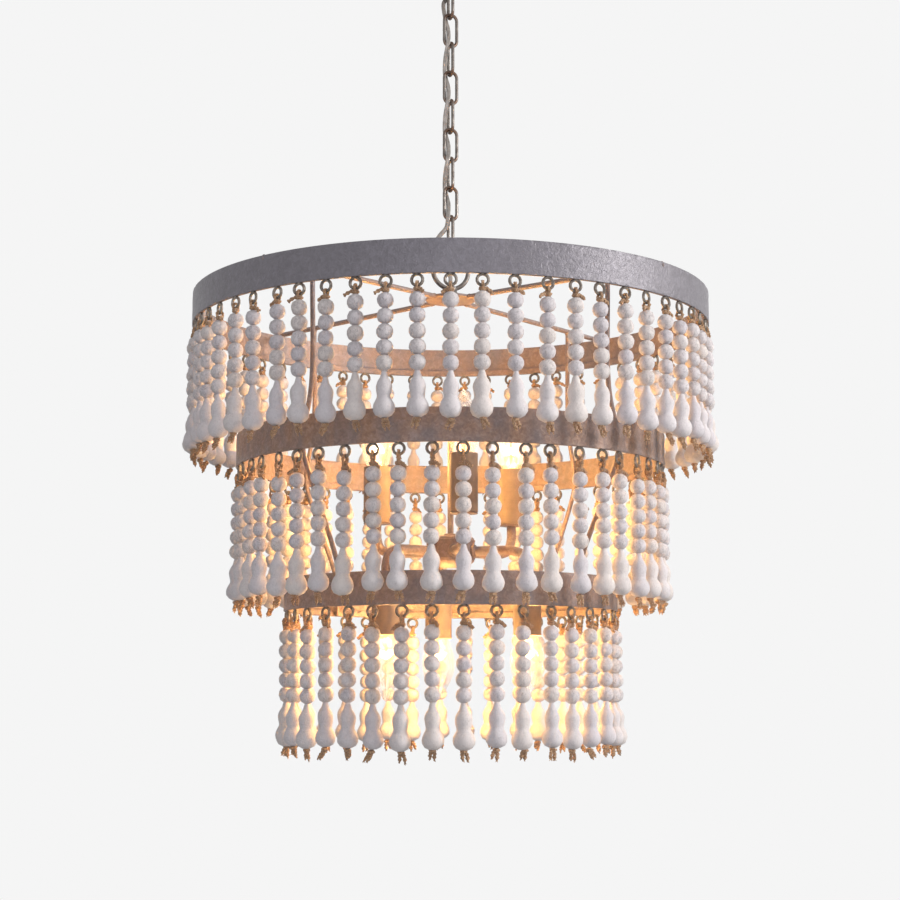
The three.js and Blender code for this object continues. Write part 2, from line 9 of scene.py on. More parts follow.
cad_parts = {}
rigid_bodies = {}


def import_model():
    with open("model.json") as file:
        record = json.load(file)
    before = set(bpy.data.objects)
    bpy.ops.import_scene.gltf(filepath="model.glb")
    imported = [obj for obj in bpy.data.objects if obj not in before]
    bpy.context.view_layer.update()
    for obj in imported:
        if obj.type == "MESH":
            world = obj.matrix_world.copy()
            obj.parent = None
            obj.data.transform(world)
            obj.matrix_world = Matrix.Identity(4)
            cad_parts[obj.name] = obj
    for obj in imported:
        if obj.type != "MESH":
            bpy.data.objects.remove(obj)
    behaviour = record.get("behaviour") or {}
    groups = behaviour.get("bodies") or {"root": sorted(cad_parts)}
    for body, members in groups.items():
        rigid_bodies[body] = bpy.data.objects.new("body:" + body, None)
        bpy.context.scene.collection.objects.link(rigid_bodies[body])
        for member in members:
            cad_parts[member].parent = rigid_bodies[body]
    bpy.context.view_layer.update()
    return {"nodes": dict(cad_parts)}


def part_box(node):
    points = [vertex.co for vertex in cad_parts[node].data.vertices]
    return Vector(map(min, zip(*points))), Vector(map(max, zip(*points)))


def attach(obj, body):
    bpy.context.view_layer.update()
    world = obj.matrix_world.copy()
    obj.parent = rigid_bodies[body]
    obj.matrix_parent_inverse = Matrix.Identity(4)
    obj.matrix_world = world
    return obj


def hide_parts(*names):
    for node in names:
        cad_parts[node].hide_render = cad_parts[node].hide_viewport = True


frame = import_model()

# Three-tier wood bead chandelier, dressed over its solids. Sizes are in millimetres until a mesh is
# made, z is below the ceiling, the front is -Y and an azimuth turns from the front to the right.
MM = 0.001
SEAT = 0.3

# Tiers from the top: hoop radius, strand count, first strand's azimuth, first bead below the hoop,
# and how strongly the bulbs' warm light and the strands' shade are painted on the hoop's outside
TIERS = [
    {"name": "top", "radius": 275, "strands": 57, "phase": 0.0, "first_bead": 24.9, "thin": 0.0},
    {"name": "middle", "radius": 226.5, "strands": 48, "phase": 3.0, "first_bead": 30.3, "thin": 0.95},
    {"name": "bottom", "radius": 175, "strands": 36, "phase": 4.2, "first_bead": 27.4, "thin": 0.7},
]
HOOP_WALL = 1.2
HOOP_STEPS = 540
HOOP_ROWS = 12
HAMMER_DEPTH = 0.34
HAMMER_LUMP = 7.5
HAMMER_FINE_SHARE = 0.45
# Painted warm lamp light and shade on the faces inside the hoops and on the frame within them
PAINTED_GLOW_INSIDE = 0.8
HEM_HEIGHT = 7
HEM_THICK = 3
SECTORS = 3

# Eyelets and strands; the form picks are a multiple of each count of kinds, so that all are as likely
EYELET_RADIUS = 5.4
EYELET_WIRE = 3.1
EYELET_CENTRE = -5.9
BEAD_RADIUS = 7.85
BEAD_HALF_LENGTH = 7.3
BEAD_PITCH = 14.75
BEAD_COUNT = 5
BEAD_KINDS = 5
GOURD_LENGTH = 43.6
GOURD_KINDS = 5
GOURD_SLIM = 0.2
TURNING_MARK = 0.07
TURNING_LUMP = 5.0
PLY = 1.3
KNOT_HEIGHT = 5.0
TAIL_LENGTH = 12.5
TWINE_KINDS = 6
SPACING_SHARE = 0.09
FORM_PICKS = 60
STILL_LEAN = 0.012
STILL_DROP = 1.4
SWINGING_LEAN = 0.003
SWINGING_DROP = 0.2
TWINE_SEED = 11
STILL_SEED = 40
SWINGING_SEED = 60

# Cross frame and tier rods
DISC_RADIUS = 27
DISC_THICK = 4
ARM_RADIUS = 2.75
ARM_COUNT = 4
ARM_TURN = -41
ARM_FALL = 4.25
ROD_RADIUS = 2.5
ROD_TOP_RADIUS = 208
HOOP_FLAT_SHARE = math.cos(math.pi / 36)

# Lamps
STEM_RADIUS = 3.2
STEM_BORE = 2
CLUSTER_HEIGHT = 36
FERRULE_PLACE = 25.4
LAMP_PITCH_RADIUS = 85
LAMP_ARM_ROOT = 20
LAMP_ARM_RADIUS = 5
LAMP_ARM_BEND = 17
LAMP_LEVEL = -669.3
LAMP_TURN = 9
LAMP_COUNT = 6
HOLDER_UP = -637.6
HOLDER_DOWN = -696.0
HOLDER_HEIGHT = 54
HOLDER_RADIUS = 12.2
HOLDER_BORE = 7.8
HOLDER_FLOOR = 30
FLANGE_RADIUS = 14.5
FLANGE_THICK = 2
SLEEVE_RADIUS = 14.5
SLEEVE_WALL = 1.2
SLEEVE_LENGTH = 60
BULB_SEAT = HOLDER_FLOOR + SEAT
BULB_NECK = 54.8
GLASS_WALL = 0.6
CAP_RADIUS = 7
THREAD_TURNS = 6
THREAD_PITCH = 2.9
FILAMENT_RISE = 24
FILAMENT_HALF = 5.2
FILAMENT_ARCH = 5
COIL_TURNS = 9
COIL_STEPS = 72
COIL_RADIUS = 1.1
COIL_WIRE = 0.7
LEAD_WIRE = 0.5
BLOOM_REACH = 38
BLOOM_FALL = 1.5

# Hanger
CHAIN_TURN = 20
LINK_COUNT = 9
LINK_PITCH = 32.6
LINK_WIRE = 3.6
LINK_WIDTH = 18
LINK_HEIGHT = 40.1
FIRST_LINK_TOP = -42.4
HUB_RING_WIRE = 5
HUB_RING_WIDTH = 45.5
HUB_RING_HEIGHT = 53
COLLAR_DROP = 13
CORD_CORE = 1.15
CORD_SPREAD = 1.3
CORD_HALF_WIDTH = 2.1
CORD_END_GAP = 0.4
CORD_LACE = 4.7
CORD_INSIDE = 2.6
CORD_BESIDE = 6
CORD_BYPASS = 11.8
CORD_RING_SIDE = 17

# Ceiling end
CUP_DEPTH = 22
CUP_RADIUS = 60
CUP_WALL = 1.2
SCREW_OFFSET = 37
SCREW_NUT_HEIGHT = 8
NUT_HEIGHT = 4
LOOP_TOP = -27.3
LOOP_WIRE = 4
LOOP_WIDTH = 22
LOOP_HEIGHT = 23

# Camera: the photograph's frame is 900 pixels of a 36 mm film side
CAMERA_PLACE = (-0.6, -1857.0, -811.2)
CAMERA_TILT = 7.686
CAMERA_LENS = 1758.5 / 900 * 36


def camera():
    data = bpy.data.cameras.new("camera")
    data.lens = CAMERA_LENS
    data.sensor_width = 36
    data.clip_start = 0.05
    data.clip_end = 60
    eye = bpy.data.objects.new("camera", data)
    eye.location = Vector(CAMERA_PLACE) * MM
    eye.rotation_euler = (math.radians(90 + CAMERA_TILT), 0, 0)
    bpy.context.scene.collection.objects.link(eye)
    bpy.context.scene.camera = eye


camera()


# Meshes: a shape is a list of points in millimetres and a list of faces
def around(radius, azimuth, z):
    turn = math.radians(azimuth)
    return Vector((radius * math.sin(turn), -radius * math.cos(turn), z))


def together(*shapes):
    points, faces = [], []
    for more_points, more_faces in shapes:
        start = len(points)
        points += more_points
        faces += [[start + i for i in face] for face in more_faces]
    return points, faces


def placed(shape, matrix):
    points, faces = shape
    return [matrix @ Vector(p) for p in points], faces


def lathe(profile, sides, closed=False):
    """A profile of (radius, z) turned about the Z axis; an open profile's ends are capped."""
    points, faces, rings = [], [], []
    for radius, z in profile:
        if radius == 0:
            rings.append([len(points)] * sides)
            points.append(Vector((0, 0, z)))
            continue
        rings.append(list(range(len(points), len(points) + sides)))
        points += [around(radius, 360 * i / sides, z) for i in range(sides)]
    pairs = list(zip(rings, rings[1:]))
    if closed:
        pairs.append((rings[-1], rings[0]))
    for low, high in pairs:
        for i in range(sides):
            j = (i + 1) % sides
            face = []
            for corner in (low[i], low[j], high[j], high[i]):
                if corner not in face:
                    face.append(corner)
            faces.append(face)
    if not closed:
        for ring in (rings[0], rings[-1]):
            if len(set(ring)) == sides:
                faces.append(list(ring))
    return points, faces


def swept(path, radius, sides=8, closed=False, section=None, lead=None):
    """A round or given section carried along a path; radius may be one value or one for each point."""
    count = len(path)
    radii = radius if isinstance(radius, (list, tuple)) else [radius] * count
    turns = [2 * math.pi * i / sides for i in range(sides)]
    outline = section or [(math.cos(a), math.sin(a)) for a in turns]
    sides = len(outline)
    path = [Vector(p) for p in path]
    tangents = []
    for i in range(count):
        before = path[(i - 1) % count] if closed or i > 0 else path[i]
        after = path[(i + 1) % count] if closed or i < count - 1 else path[i]
        tangents.append((after - before).normalized())
    if lead is None:
        lead = Vector((0, 1, 0)) if abs(tangents[0].y) < 0.9 else Vector((1, 0, 0))
    normal = lead
    points, faces = [], []
    for i in range(count):
        normal = (normal - tangents[i] * normal.dot(tangents[i])).normalized()
        side = tangents[i].cross(normal)
        points += [path[i] + (normal * u + side * v) * radii[i] for u, v in outline]
    for i in range(count if closed else count - 1):
        a, b = i * sides, ((i + 1) % count) * sides
        for k in range(sides):
            m = (k + 1) % sides
            faces.append([a + k, a + m, b + m, b + k])
    if not closed:
        faces.append(list(range(sides))[::-1])
        faces.append([(count - 1) * sides + k for k in range(sides)])
    return points, faces


def curve_through(knots, count, dense=12):
    """Points spaced evenly along a smooth curve through the knots, without overshoot at uneven spans."""
    knots = [Vector(k) for k in knots]
    ends = [2 * knots[0] - knots[1], *knots, 2 * knots[-1] - knots[-2]]
    fine = []
    for p0, p1, p2, p3 in zip(ends, ends[1:], ends[2:], ends[3:]):
        d0, d1, d2 = (math.sqrt((b - a).length) for a, b in ((p0, p1), (p1, p2), (p2, p3)))
        start = ((p1 - p0) / d0 - (p2 - p0) / (d0 + d1) + (p2 - p1) / d1) * d1
        stop = ((p2 - p1) / d1 - (p3 - p1) / (d1 + d2) + (p3 - p2) / d2) * d1
        square = 3 * (p2 - p1) - 2 * start - stop
        cube = 2 * (p1 - p2) + start + stop
        for s in range(dense):
            t = s / dense
            fine.append(p1 + start * t + square * t * t + cube * t ** 3)
    fine.append(knots[-1])
    runs = [0.0]
    for a, b in zip(fine, fine[1:]):
        runs.append(runs[-1] + (b - a).length)
    even, at = [], 0
    for i in range(count):
        goal = runs[-1] * i / (count - 1)
        while at < len(runs) - 2 and runs[at + 1] < goal:
            at += 1
        span = runs[at + 1] - runs[at] or 1
        even.append(fine[at].lerp(fine[at + 1], (goal - runs[at]) / span))
    return even


def oval_path(width, height, bend_steps, centre_z, straight_steps=3):
    """The centre line of a wire bent to an oval in the XZ plane."""
    bend, straight = width / 2, height - width
    path = []
    for side in (1, -1):
        for i in range(straight_steps):
            rise = straight * (i / straight_steps - 0.5)
            path.append(Vector((side * bend, 0, centre_z + side * rise)))
        for i in range(bend_steps):
            angle = math.pi * i / bend_steps
            rise = straight / 2 + bend * math.sin(angle)
            path.append(Vector((side * bend * math.cos(angle), 0, centre_z + side * rise)))
    return path


def mesh_object(name, shape, crease=40):
    points, faces = shape
    data = bpy.data.meshes.new(name)
    data.from_pydata([Vector(p) * MM for p in points], [], faces)
    work = bmesh.new()
    work.from_mesh(data)
    bmesh.ops.remove_doubles(work, verts=work.verts, dist=1e-6)
    bmesh.ops.recalc_face_normals(work, faces=work.faces)
    work.to_mesh(data)
    work.free()
    data.shade_smooth()
    data.set_sharp_from_angle(angle=math.radians(crease))
    thing = bpy.data.objects.new(name, data)
    bpy.context.scene.collection.objects.link(thing)
    return thing


def piece(name, shape, body, finish, nodes=(), crease=40):
    return finished(mesh_object(name, shape, crease), body, finish, nodes)


def finished(thing, body, finish, nodes=()):
    if finish:
        thing.data.materials.clear()
        thing.data.materials.append(finish)
    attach(thing, body)
    if nodes:
        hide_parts(*nodes)
    return thing


def marked(thing, label, value_at):
    """Stores a value worked out for each corner, which the finish reads by its label."""
    layer = thing.data.attributes.new(label, "FLOAT", "POINT")
    for corner, value in zip(thing.data.vertices, layer.data):
        value.value = value_at(corner.co)
    return thing


# Node trees
def add(tree, kind, settings=None, links=None, take=None):
    """Adds a node with its settings, feeds its inputs with values or sockets and returns an output."""
    node = tree.nodes.new(kind)
    for key, value in (settings or {}).items():
        if key != "stops":
            setattr(node, key, value)
            continue
        band = node.color_ramp
        while len(band.elements) < len(value):
            band.elements.new(0.5)
        for stop, (place, tone) in zip(band.elements, value):
            stop.position = place
            stop.color = tone
    for key, value in (links or {}).items():
        if isinstance(key, int):
            socket = node.inputs[key]
        else:
            socket = next(s for s in node.inputs if s.name == key and s.enabled)
        if isinstance(value, bpy.types.NodeSocket):
            tree.links.new(value, socket)
        else:
            socket.default_value = value
    return next((s for s in node.outputs if s.enabled and take in (None, s.name)), None)


def colour(code):
    """Linear colour from an sRGB hex value."""
    parts = [int(code[i:i + 2], 16) / 255 for i in (1, 3, 5)]
    return [p / 12.92 if p <= 0.04045 else ((p + 0.055) / 1.055) ** 2.4 for p in parts] + [1.0]


def across(size):
    """Pattern scale for a feature of this many millimetres."""
    return 1 / (size * MM)


def material(name, finish):
    """A material in the surface that a finish sets out in a tree, over the piece's own coordinates."""
    made = bpy.data.materials.new(name)
    made.use_nodes = True
    tree = made.node_tree
    tree.nodes.clear()
    surface = finish(tree, add(tree, "ShaderNodeTexCoord", take="Object"))
    add(tree, "ShaderNodeOutputMaterial", links={"Surface": surface})
    return made


# Finishes
def painted_steel(tree, spot):
    """Mild steel, hammered and chalk painted: blue-grey dabs, and a painted warm brown that stands in for
    the bulbs' light and the strands' shade.
    """
    cloud = add(tree, "ShaderNodeTexNoise", links={
        "Vector": spot, "Scale": across(24), "Detail": 4, "Roughness": 0.62,
    }, take="Fac")
    dab = add(tree, "ShaderNodeTexNoise", links={
        "Vector": spot, "Scale": across(4.6), "Detail": 3, "Roughness": 0.6, "Distortion": 0.8,
    }, take="Fac")
    grit = add(tree, "ShaderNodeTexNoise", links={
        "Vector": spot, "Scale": across(1.3), "Detail": 2, "Roughness": 0.6,
    }, take="Fac")
    broad = add(tree, "ShaderNodeValToRGB", {"stops": [
        (0.3, colour("#716d71")), (0.7, colour("#7d797d")),
    ]}, {"Fac": cloud})
    small = add(tree, "ShaderNodeValToRGB", {"stops": [
        (0.34, colour("#68646a")), (0.52, colour("#757178")), (0.7, colour("#85818a")),
    ]}, {"Fac": dab})
    base = add(tree, "ShaderNodeMix", {"data_type": "RGBA"}, {"Factor": 0.5, "A": broad, "B": small})
    # Painted light: where a piece is marked for it, a mottled warm brown stands in for the bulbs' warm
    # light and the strands' shade
    thin = add(tree, "ShaderNodeAttribute", {"attribute_name": "thin"}, take="Fac")
    upright = add(tree, "ShaderNodeMapping", links={"Vector": spot, "Scale": (1, 1, 0.5)})
    rubbed = add(tree, "ShaderNodeTexNoise", links={
        "Vector": upright, "Scale": across(24), "Detail": 3, "Roughness": 0.5, "Distortion": 0.4,
    }, take="Fac")
    patch = add(tree, "ShaderNodeMapRange", links={
        "Value": rubbed, "From Min": 0.34, "From Max": 0.66, "To Min": 0.3, "To Max": 1.0,
    })
    bare = add(tree, "ShaderNodeMath", {"operation": "MULTIPLY"}, {0: thin, 1: patch})
    painted_glow_tone = add(tree, "ShaderNodeValToRGB", {"stops": [
        (0.34, colour("#8a6e5e")), (0.52, colour("#9b7e6b")), (0.7, colour("#ad9484")),
    ]}, {"Fac": dab})
    base = add(tree, "ShaderNodeMix", {"data_type": "RGBA"}, {"Factor": bare, "A": base, "B": painted_glow_tone})
    satin = add(tree, "ShaderNodeMapRange", links={
        "Value": grit, "From Min": 0.3, "From Max": 0.7, "To Min": 0.4, "To Max": 0.56,
    })
    pits = add(tree, "ShaderNodeMath", {"operation": "MULTIPLY_ADD"}, {0: grit, 1: 0.3, 2: dab})
    bump = add(tree, "ShaderNodeBump", links={"Height": pits, "Strength": 1.0, "Distance": 0.8 * MM})
    return add(tree, "ShaderNodeBsdfPrincipled", links={
        "Base Color": base, "Roughness": satin, "Normal": bump, "Metallic": 0.3,
    })


def rubbed_wire(tree, spot):
    """Steel wire, dark painted and rubbed through: warm dark grey with paler worn patches."""
    rub = add(tree, "ShaderNodeTexNoise", links={
        "Vector": spot, "Scale": across(3.2), "Detail": 3, "Roughness": 0.65,
    }, take="Fac")
    base = add(tree, "ShaderNodeValToRGB", {"stops": [
        (0.3, colour("#5f5852")), (0.52, colour("#807870")), (0.72, colour("#a69d94")),
    ]}, {"Fac": rub})
    worn = add(tree, "ShaderNodeMapRange", links={
        "Value": rub, "From Min": 0.3, "From Max": 0.7, "To Min": 0.62, "To Max": 0.4,
    })
    bump = add(tree, "ShaderNodeBump", links={"Height": rub, "Strength": 0.5, "Distance": 0.25 * MM})
    return add(tree, "ShaderNodeBsdfPrincipled", links={
        "Base Color": base, "Roughness": worn, "Normal": bump, "Metallic": 0.5,
    })


def chain_plating(tree, spot):
    """Drawn and bent steel wire, satin nickel over brown primer: warm grey, browner where links rub."""
    rub = add(tree, "ShaderNodeTexNoise", links={
        "Vector": spot, "Scale": across(6), "Detail": 3, "Roughness": 0.65,
    }, take="Fac")
    fine = add(tree, "ShaderNodeTexNoise", links={
        "Vector": spot, "Scale": across(0.9), "Detail": 2, "Roughness": 0.5,
    }, take="Fac")
    plated = add(tree, "ShaderNodeValToRGB", {"stops": [
        (0.3, colour("#5b544f")), (0.5, colour("#6f6863")), (0.7, colour("#87817b")),
    ]}, {"Fac": rub})
    wear = add(tree, "ShaderNodeAttribute", {"attribute_name": "wear"}, take="Fac")
    base = add(tree, "ShaderNodeMix", {"data_type": "RGBA"}, {
        "Factor": wear, "A": plated, "B": colour("#705341"),
    })
    satin = add(tree, "ShaderNodeMapRange", links={
        "Value": rub, "From Min": 0.3, "From Max": 0.7, "To Min": 0.5, "To Max": 0.3,
    })
    bump = add(tree, "ShaderNodeBump", links={"Height": fine, "Strength": 0.25, "Distance": 0.1 * MM})
    return add(tree, "ShaderNodeBsdfPrincipled", links={
        "Base Color": base, "Roughness": satin, "Normal": bump, "Metallic": 0.7,
    })


def limewashed_wood(tree, spot):
    """Turned softwood, limewashed and sanded back: chalky white, grey grain and cracks where it's worn.

    The real grain is about 0.4 mm and wouldn't show from here, so it is drawn at 1.6 mm.
    """
    shift = add(tree, "ShaderNodeAttribute", {"attribute_name": "shift"}, take="Vector")
    tint = add(tree, "ShaderNodeAttribute", {"attribute_name": "tint"}, take="Fac")
    worn_share = add(tree, "ShaderNodeAttribute", {"attribute_name": "worn"}, take="Fac")
    moved = add(tree, "ShaderNodeVectorMath", {"operation": "ADD"}, {0: spot, 1: shift})
    along = add(tree, "ShaderNodeMapping", links={"Vector": moved, "Scale": (1, 1, 0.5)})
    grain = add(tree, "ShaderNodeTexNoise", links={
        "Vector": along, "Scale": across(1.6), "Detail": 3, "Roughness": 0.65, "Distortion": 1.0,
    }, take="Fac")
    patch = add(tree, "ShaderNodeTexNoise", links={
        "Vector": moved, "Scale": across(5), "Detail": 2, "Roughness": 0.5,
    }, take="Fac")
    split = add(tree, "ShaderNodeTexNoise", links={
        "Vector": moved, "Scale": across(3.8), "Detail": 3, "Roughness": 0.6, "Distortion": 0.5,
    }, take="Fac")
    lime = add(tree, "ShaderNodeValToRGB", {"stops": [
        (0.30, colour("#b9b3b3")), (0.44, colour("#d5d0cf")), (0.62, colour("#e9e4e3")),
    ]}, {"Fac": grain})
    cover = add(tree, "ShaderNodeMapRange", links={
        "Value": patch, "From Min": 0.36, "From Max": 0.62, "To Min": 0.35, "To Max": 1.0,
    })
    bare = add(tree, "ShaderNodeMath", {"operation": "MULTIPLY"}, {0: cover, 1: worn_share})
    base = add(tree, "ShaderNodeMix", {"data_type": "RGBA"}, {
        "Factor": bare, "A": colour("#e0dbda"), "B": lime,
    })
    middle = add(tree, "ShaderNodeMath", {"operation": "SUBTRACT"}, {0: split, 1: 0.5})
    near = add(tree, "ShaderNodeMath", {"operation": "ABSOLUTE"}, {0: middle})
    line = add(tree, "ShaderNodeMapRange", links={
        "Value": near, "From Min": 0.0, "From Max": 0.05, "To Min": 0.5, "To Max": 0.0,
    })
    crack = add(tree, "ShaderNodeMath", {"operation": "MULTIPLY"}, {0: line, 1: bare})
    base = add(tree, "ShaderNodeMix", {"data_type": "RGBA"}, {
        "Factor": crack, "A": base, "B": colour("#9c9391"),
    })
    cast = add(tree, "ShaderNodeValToRGB", {"stops": [
        (0.0, colour("#f0eef2")), (0.5, colour("#faf8f8")), (1.0, colour("#fdf8f2")),
    ]}, {"Fac": tint})
    base = add(tree, "ShaderNodeMix", {"data_type": "RGBA", "blend_type": "MULTIPLY"}, {
        "Factor": 1.0, "A": base, "B": cast,
    })
    height = add(tree, "ShaderNodeMath", {"operation": "SUBTRACT"}, {0: grain, 1: crack})
    bump = add(tree, "ShaderNodeBump", links={"Height": height, "Strength": 0.9, "Distance": 0.5 * MM})
    return add(tree, "ShaderNodeBsdfPrincipled", links={
        "Base Color": base, "Roughness": 0.82, "Normal": bump,
    })


def jute_twine(tree, spot):
    """Two-ply jute, twisted and knotted: golden brown hairy fibre, a little darker on some strands.

    The real fibre is about 0.1 mm and wouldn't show from here, so it is drawn at 0.9 mm.
    """
    hair = add(tree, "ShaderNodeTexNoise", links={
        "Vector": spot, "Scale": across(0.9), "Detail": 3, "Roughness": 0.7,
    }, take="Fac")
    tint = add(tree, "ShaderNodeAttribute", {"attribute_name": "tint"}, take="Fac")
    base = add(tree, "ShaderNodeValToRGB", {"stops": [
        (0.3, colour("#745540")), (0.5, colour("#ad8866")), (0.68, colour("#e0c09a")),
    ]}, {"Fac": hair})
    dark = add(tree, "ShaderNodeMapRange", links={"Value": tint, "To Min": 0.0, "To Max": 0.3})
    base = add(tree, "ShaderNodeMix", {"data_type": "RGBA"}, {
        "Factor": dark, "A": base, "B": colour("#7a5a46"),
    })
    bump = add(tree, "ShaderNodeBump", links={"Height": hair, "Strength": 0.8, "Distance": 0.3 * MM})
    return add(tree, "ShaderNodeBsdfPrincipled", links={
        "Base Color": base, "Roughness": 0.9, "Normal": bump, "Sheen Weight": 0.3,
    })


def clear_cord(tree, spot):
    """Clear extruded PVC flat cord over tinned copper: pale silver with a wet gloss."""
    along = add(tree, "ShaderNodeMapping", links={"Vector": spot, "Scale": (1, 1, 0.5)})
    lay = add(tree, "ShaderNodeTexNoise", links={
        "Vector": along, "Scale": across(3), "Detail": 2, "Roughness": 0.5,
    }, take="Fac")
    base = add(tree, "ShaderNodeValToRGB", {"stops": [
        (0.35, colour("#857d76")), (0.65, colour("#a59e97")),
    ]}, {"Fac": lay})
    return add(tree, "ShaderNodeBsdfPrincipled", links={
        "Base Color": base, "Roughness": 0.35, "Metallic": 0.25,
        "Coat Weight": 0.7, "Coat Roughness": 0.1,
    })


def sleeve_paint(tree, spot):
    """Card candle sleeve in grey-brown chalk paint: soft cloud, small rubbed flecks."""
    cloud = add(tree, "ShaderNodeTexNoise", links={
        "Vector": spot, "Scale": across(14), "Detail": 3, "Roughness": 0.6,
    }, take="Fac")
    fleck = add(tree, "ShaderNodeTexNoise", links={
        "Vector": spot, "Scale": across(2.6), "Detail": 3, "Roughness": 0.7,
    }, take="Fac")
    base = add(tree, "ShaderNodeValToRGB", {"stops": [
        (0.3, colour("#857365")), (0.7, colour("#9c8875")),
    ]}, {"Fac": cloud})
    rubbed = add(tree, "ShaderNodeMapRange", links={
        "Value": fleck, "From Min": 0.64, "From Max": 0.72, "To Min": 0.0, "To Max": 0.6,
    })
    base = add(tree, "ShaderNodeMix", {"data_type": "RGBA"}, {
        "Factor": rubbed, "A": base, "B": colour("#b8a186"),
    })
    bump = add(tree, "ShaderNodeBump", links={"Height": fleck, "Strength": 0.3, "Distance": 0.15 * MM})
    return add(tree, "ShaderNodeBsdfPrincipled", links={
        "Base Color": base, "Roughness": 0.6, "Normal": bump,
    })


def zinc_plate(tree, spot):
    """Pressed steel, bright zinc plated: small grey spangles."""
    spangle = add(tree, "ShaderNodeTexVoronoi", links={"Vector": spot, "Scale": across(4)}, take="Color")
    grey = add(tree, "ShaderNodeSeparateColor", links={"Color": spangle}, take="Red")
    base = add(tree, "ShaderNodeValToRGB", {"stops": [
        (0.0, colour("#9d9d9b")), (1.0, colour("#b6b6b5")),
    ]}, {"Fac": grey})
    satin = add(tree, "ShaderNodeMapRange", links={"Value": grey, "To Min": 0.3, "To Max": 0.45})
    return add(tree, "ShaderNodeBsdfPrincipled", links={
        "Base Color": base, "Roughness": satin, "Metallic": 1.0,
    })


def brass_cap(tree, spot):
    """Rolled brass lamp cap, slightly dulled."""
    dull = add(tree, "ShaderNodeTexNoise", links={
        "Vector": spot, "Scale": across(3), "Detail": 2, "Roughness": 0.5,
    }, take="Fac")
    base = add(tree, "ShaderNodeValToRGB", {"stops": [
        (0.3, colour("#a58a4f")), (0.7, colour("#c9ae72")),
    ]}, {"Fac": dull})
    satin = add(tree, "ShaderNodeMapRange", links={"Value": dull, "To Min": 0.5, "To Max": 0.25})
    return add(tree, "ShaderNodeBsdfPrincipled", links={
        "Base Color": base, "Roughness": satin, "Metallic": 1.0,
    })


def bulb_glass(tree, spot):
    """Clear blown glass, lit from inside: little but its gloss and a warm bloom at the filament."""
    drift = add(tree, "ShaderNodeTexNoise", links={
        "Vector": spot, "Scale": across(9), "Detail": 1, "Roughness": 0.4,
    }, take="Fac")
    bump = add(tree, "ShaderNodeBump", links={"Height": drift, "Strength": 0.05, "Distance": 0.2 * MM})
    bloom = add(tree, "ShaderNodeAttribute", {"attribute_name": "bloom"}, take="Fac")
    warm = add(tree, "ShaderNodeValToRGB", {"stops": [
        (0.0, colour("#1a0f06")), (0.5, colour("#b07a38")), (1.0, colour("#ffdfa8")),
    ]}, {"Fac": bloom})
    return add(tree, "ShaderNodeBsdfPrincipled", links={
        "Base Color": colour("#fff6e8"), "Roughness": 0.04, "IOR": 1.5, "Transmission Weight": 1.0,
        "Alpha": 0.2, "Normal": bump, "Emission Color": warm, "Emission Strength": 3.0,
    })


def hot_filament(tree, spot):
    """Tungsten filament at full heat: white with a yellow edge."""
    heat = add(tree, "ShaderNodeTexNoise", links={
        "Vector": spot, "Scale": across(2), "Detail": 1, "Roughness": 0.4,
    }, take="Fac")
    glow = add(tree, "ShaderNodeValToRGB", {"stops": [
        (0.3, colour("#ffdca6")), (0.7, colour("#fff3da")),
    ]}, {"Fac": heat})
    return add(tree, "ShaderNodeBsdfPrincipled", links={
        "Base Color": colour("#fff0d0"), "Emission Color": glow, "Emission Strength": 10.0,
    })


PAINT = material("chalk_painted_steel", painted_steel)
WIRE = material("rubbed_steel_wire", rubbed_wire)
CHAIN = material("satin_plated_chain", chain_plating)
WOOD = material("limewashed_wood", limewashed_wood)
JUTE = material("jute_twine", jute_twine)
CORD = material("clear_pvc_cord", clear_cord)
SLEEVE = material("painted_candle_sleeve", sleeve_paint)
ZINC = material("zinc_plated_steel", zinc_plate)
BRASS = material("rolled_brass_cap", brass_cap)
GLASS = material("clear_blown_glass", bulb_glass)
FILAMENT = material("lit_tungsten", hot_filament)


# Geometry Nodes: forms set round a circle, each place hung with a run of them
def geometry_tree(name, inputs):
    tree = bpy.data.node_groups.new(name, "GeometryNodeTree")
    tree.interface.new_socket("Geometry", in_out="OUTPUT", socket_type="NodeSocketGeometry")
    for label, kind in inputs:
        tree.interface.new_socket(label, in_out="INPUT", socket_type=kind)
    given = {s.name: s for s in add(tree, "NodeGroupInput").node.outputs}
    return tree, given


def grown(name, tree, values):
    """Evaluates a tree on an empty mesh and keeps the result as a plain mesh."""
    seed = bpy.data.objects.new(name + "_seed", bpy.data.meshes.new(name + "_seed"))
    bpy.context.scene.collection.objects.link(seed)
    modifier = seed.modifiers.new("nodes", "NODES")
    modifier.node_group = tree
    for item in tree.interface.items_tree:
        if item.item_type == "SOCKET" and item.in_out == "INPUT":
            modifier[item.identifier] = values[item.name]
    bpy.context.view_layer.update()
    graph = bpy.context.evaluated_depsgraph_get()
    data = bpy.data.meshes.new_from_object(
        seed.evaluated_get(graph), preserve_all_data_layers=True, depsgraph=graph,
    )
    data.name = name
    seed.modifiers.remove(modifier)
    bpy.data.objects.remove(seed)
    thing = bpy.data.objects.new(name, data)
    bpy.context.scene.collection.objects.link(thing)
    return thing


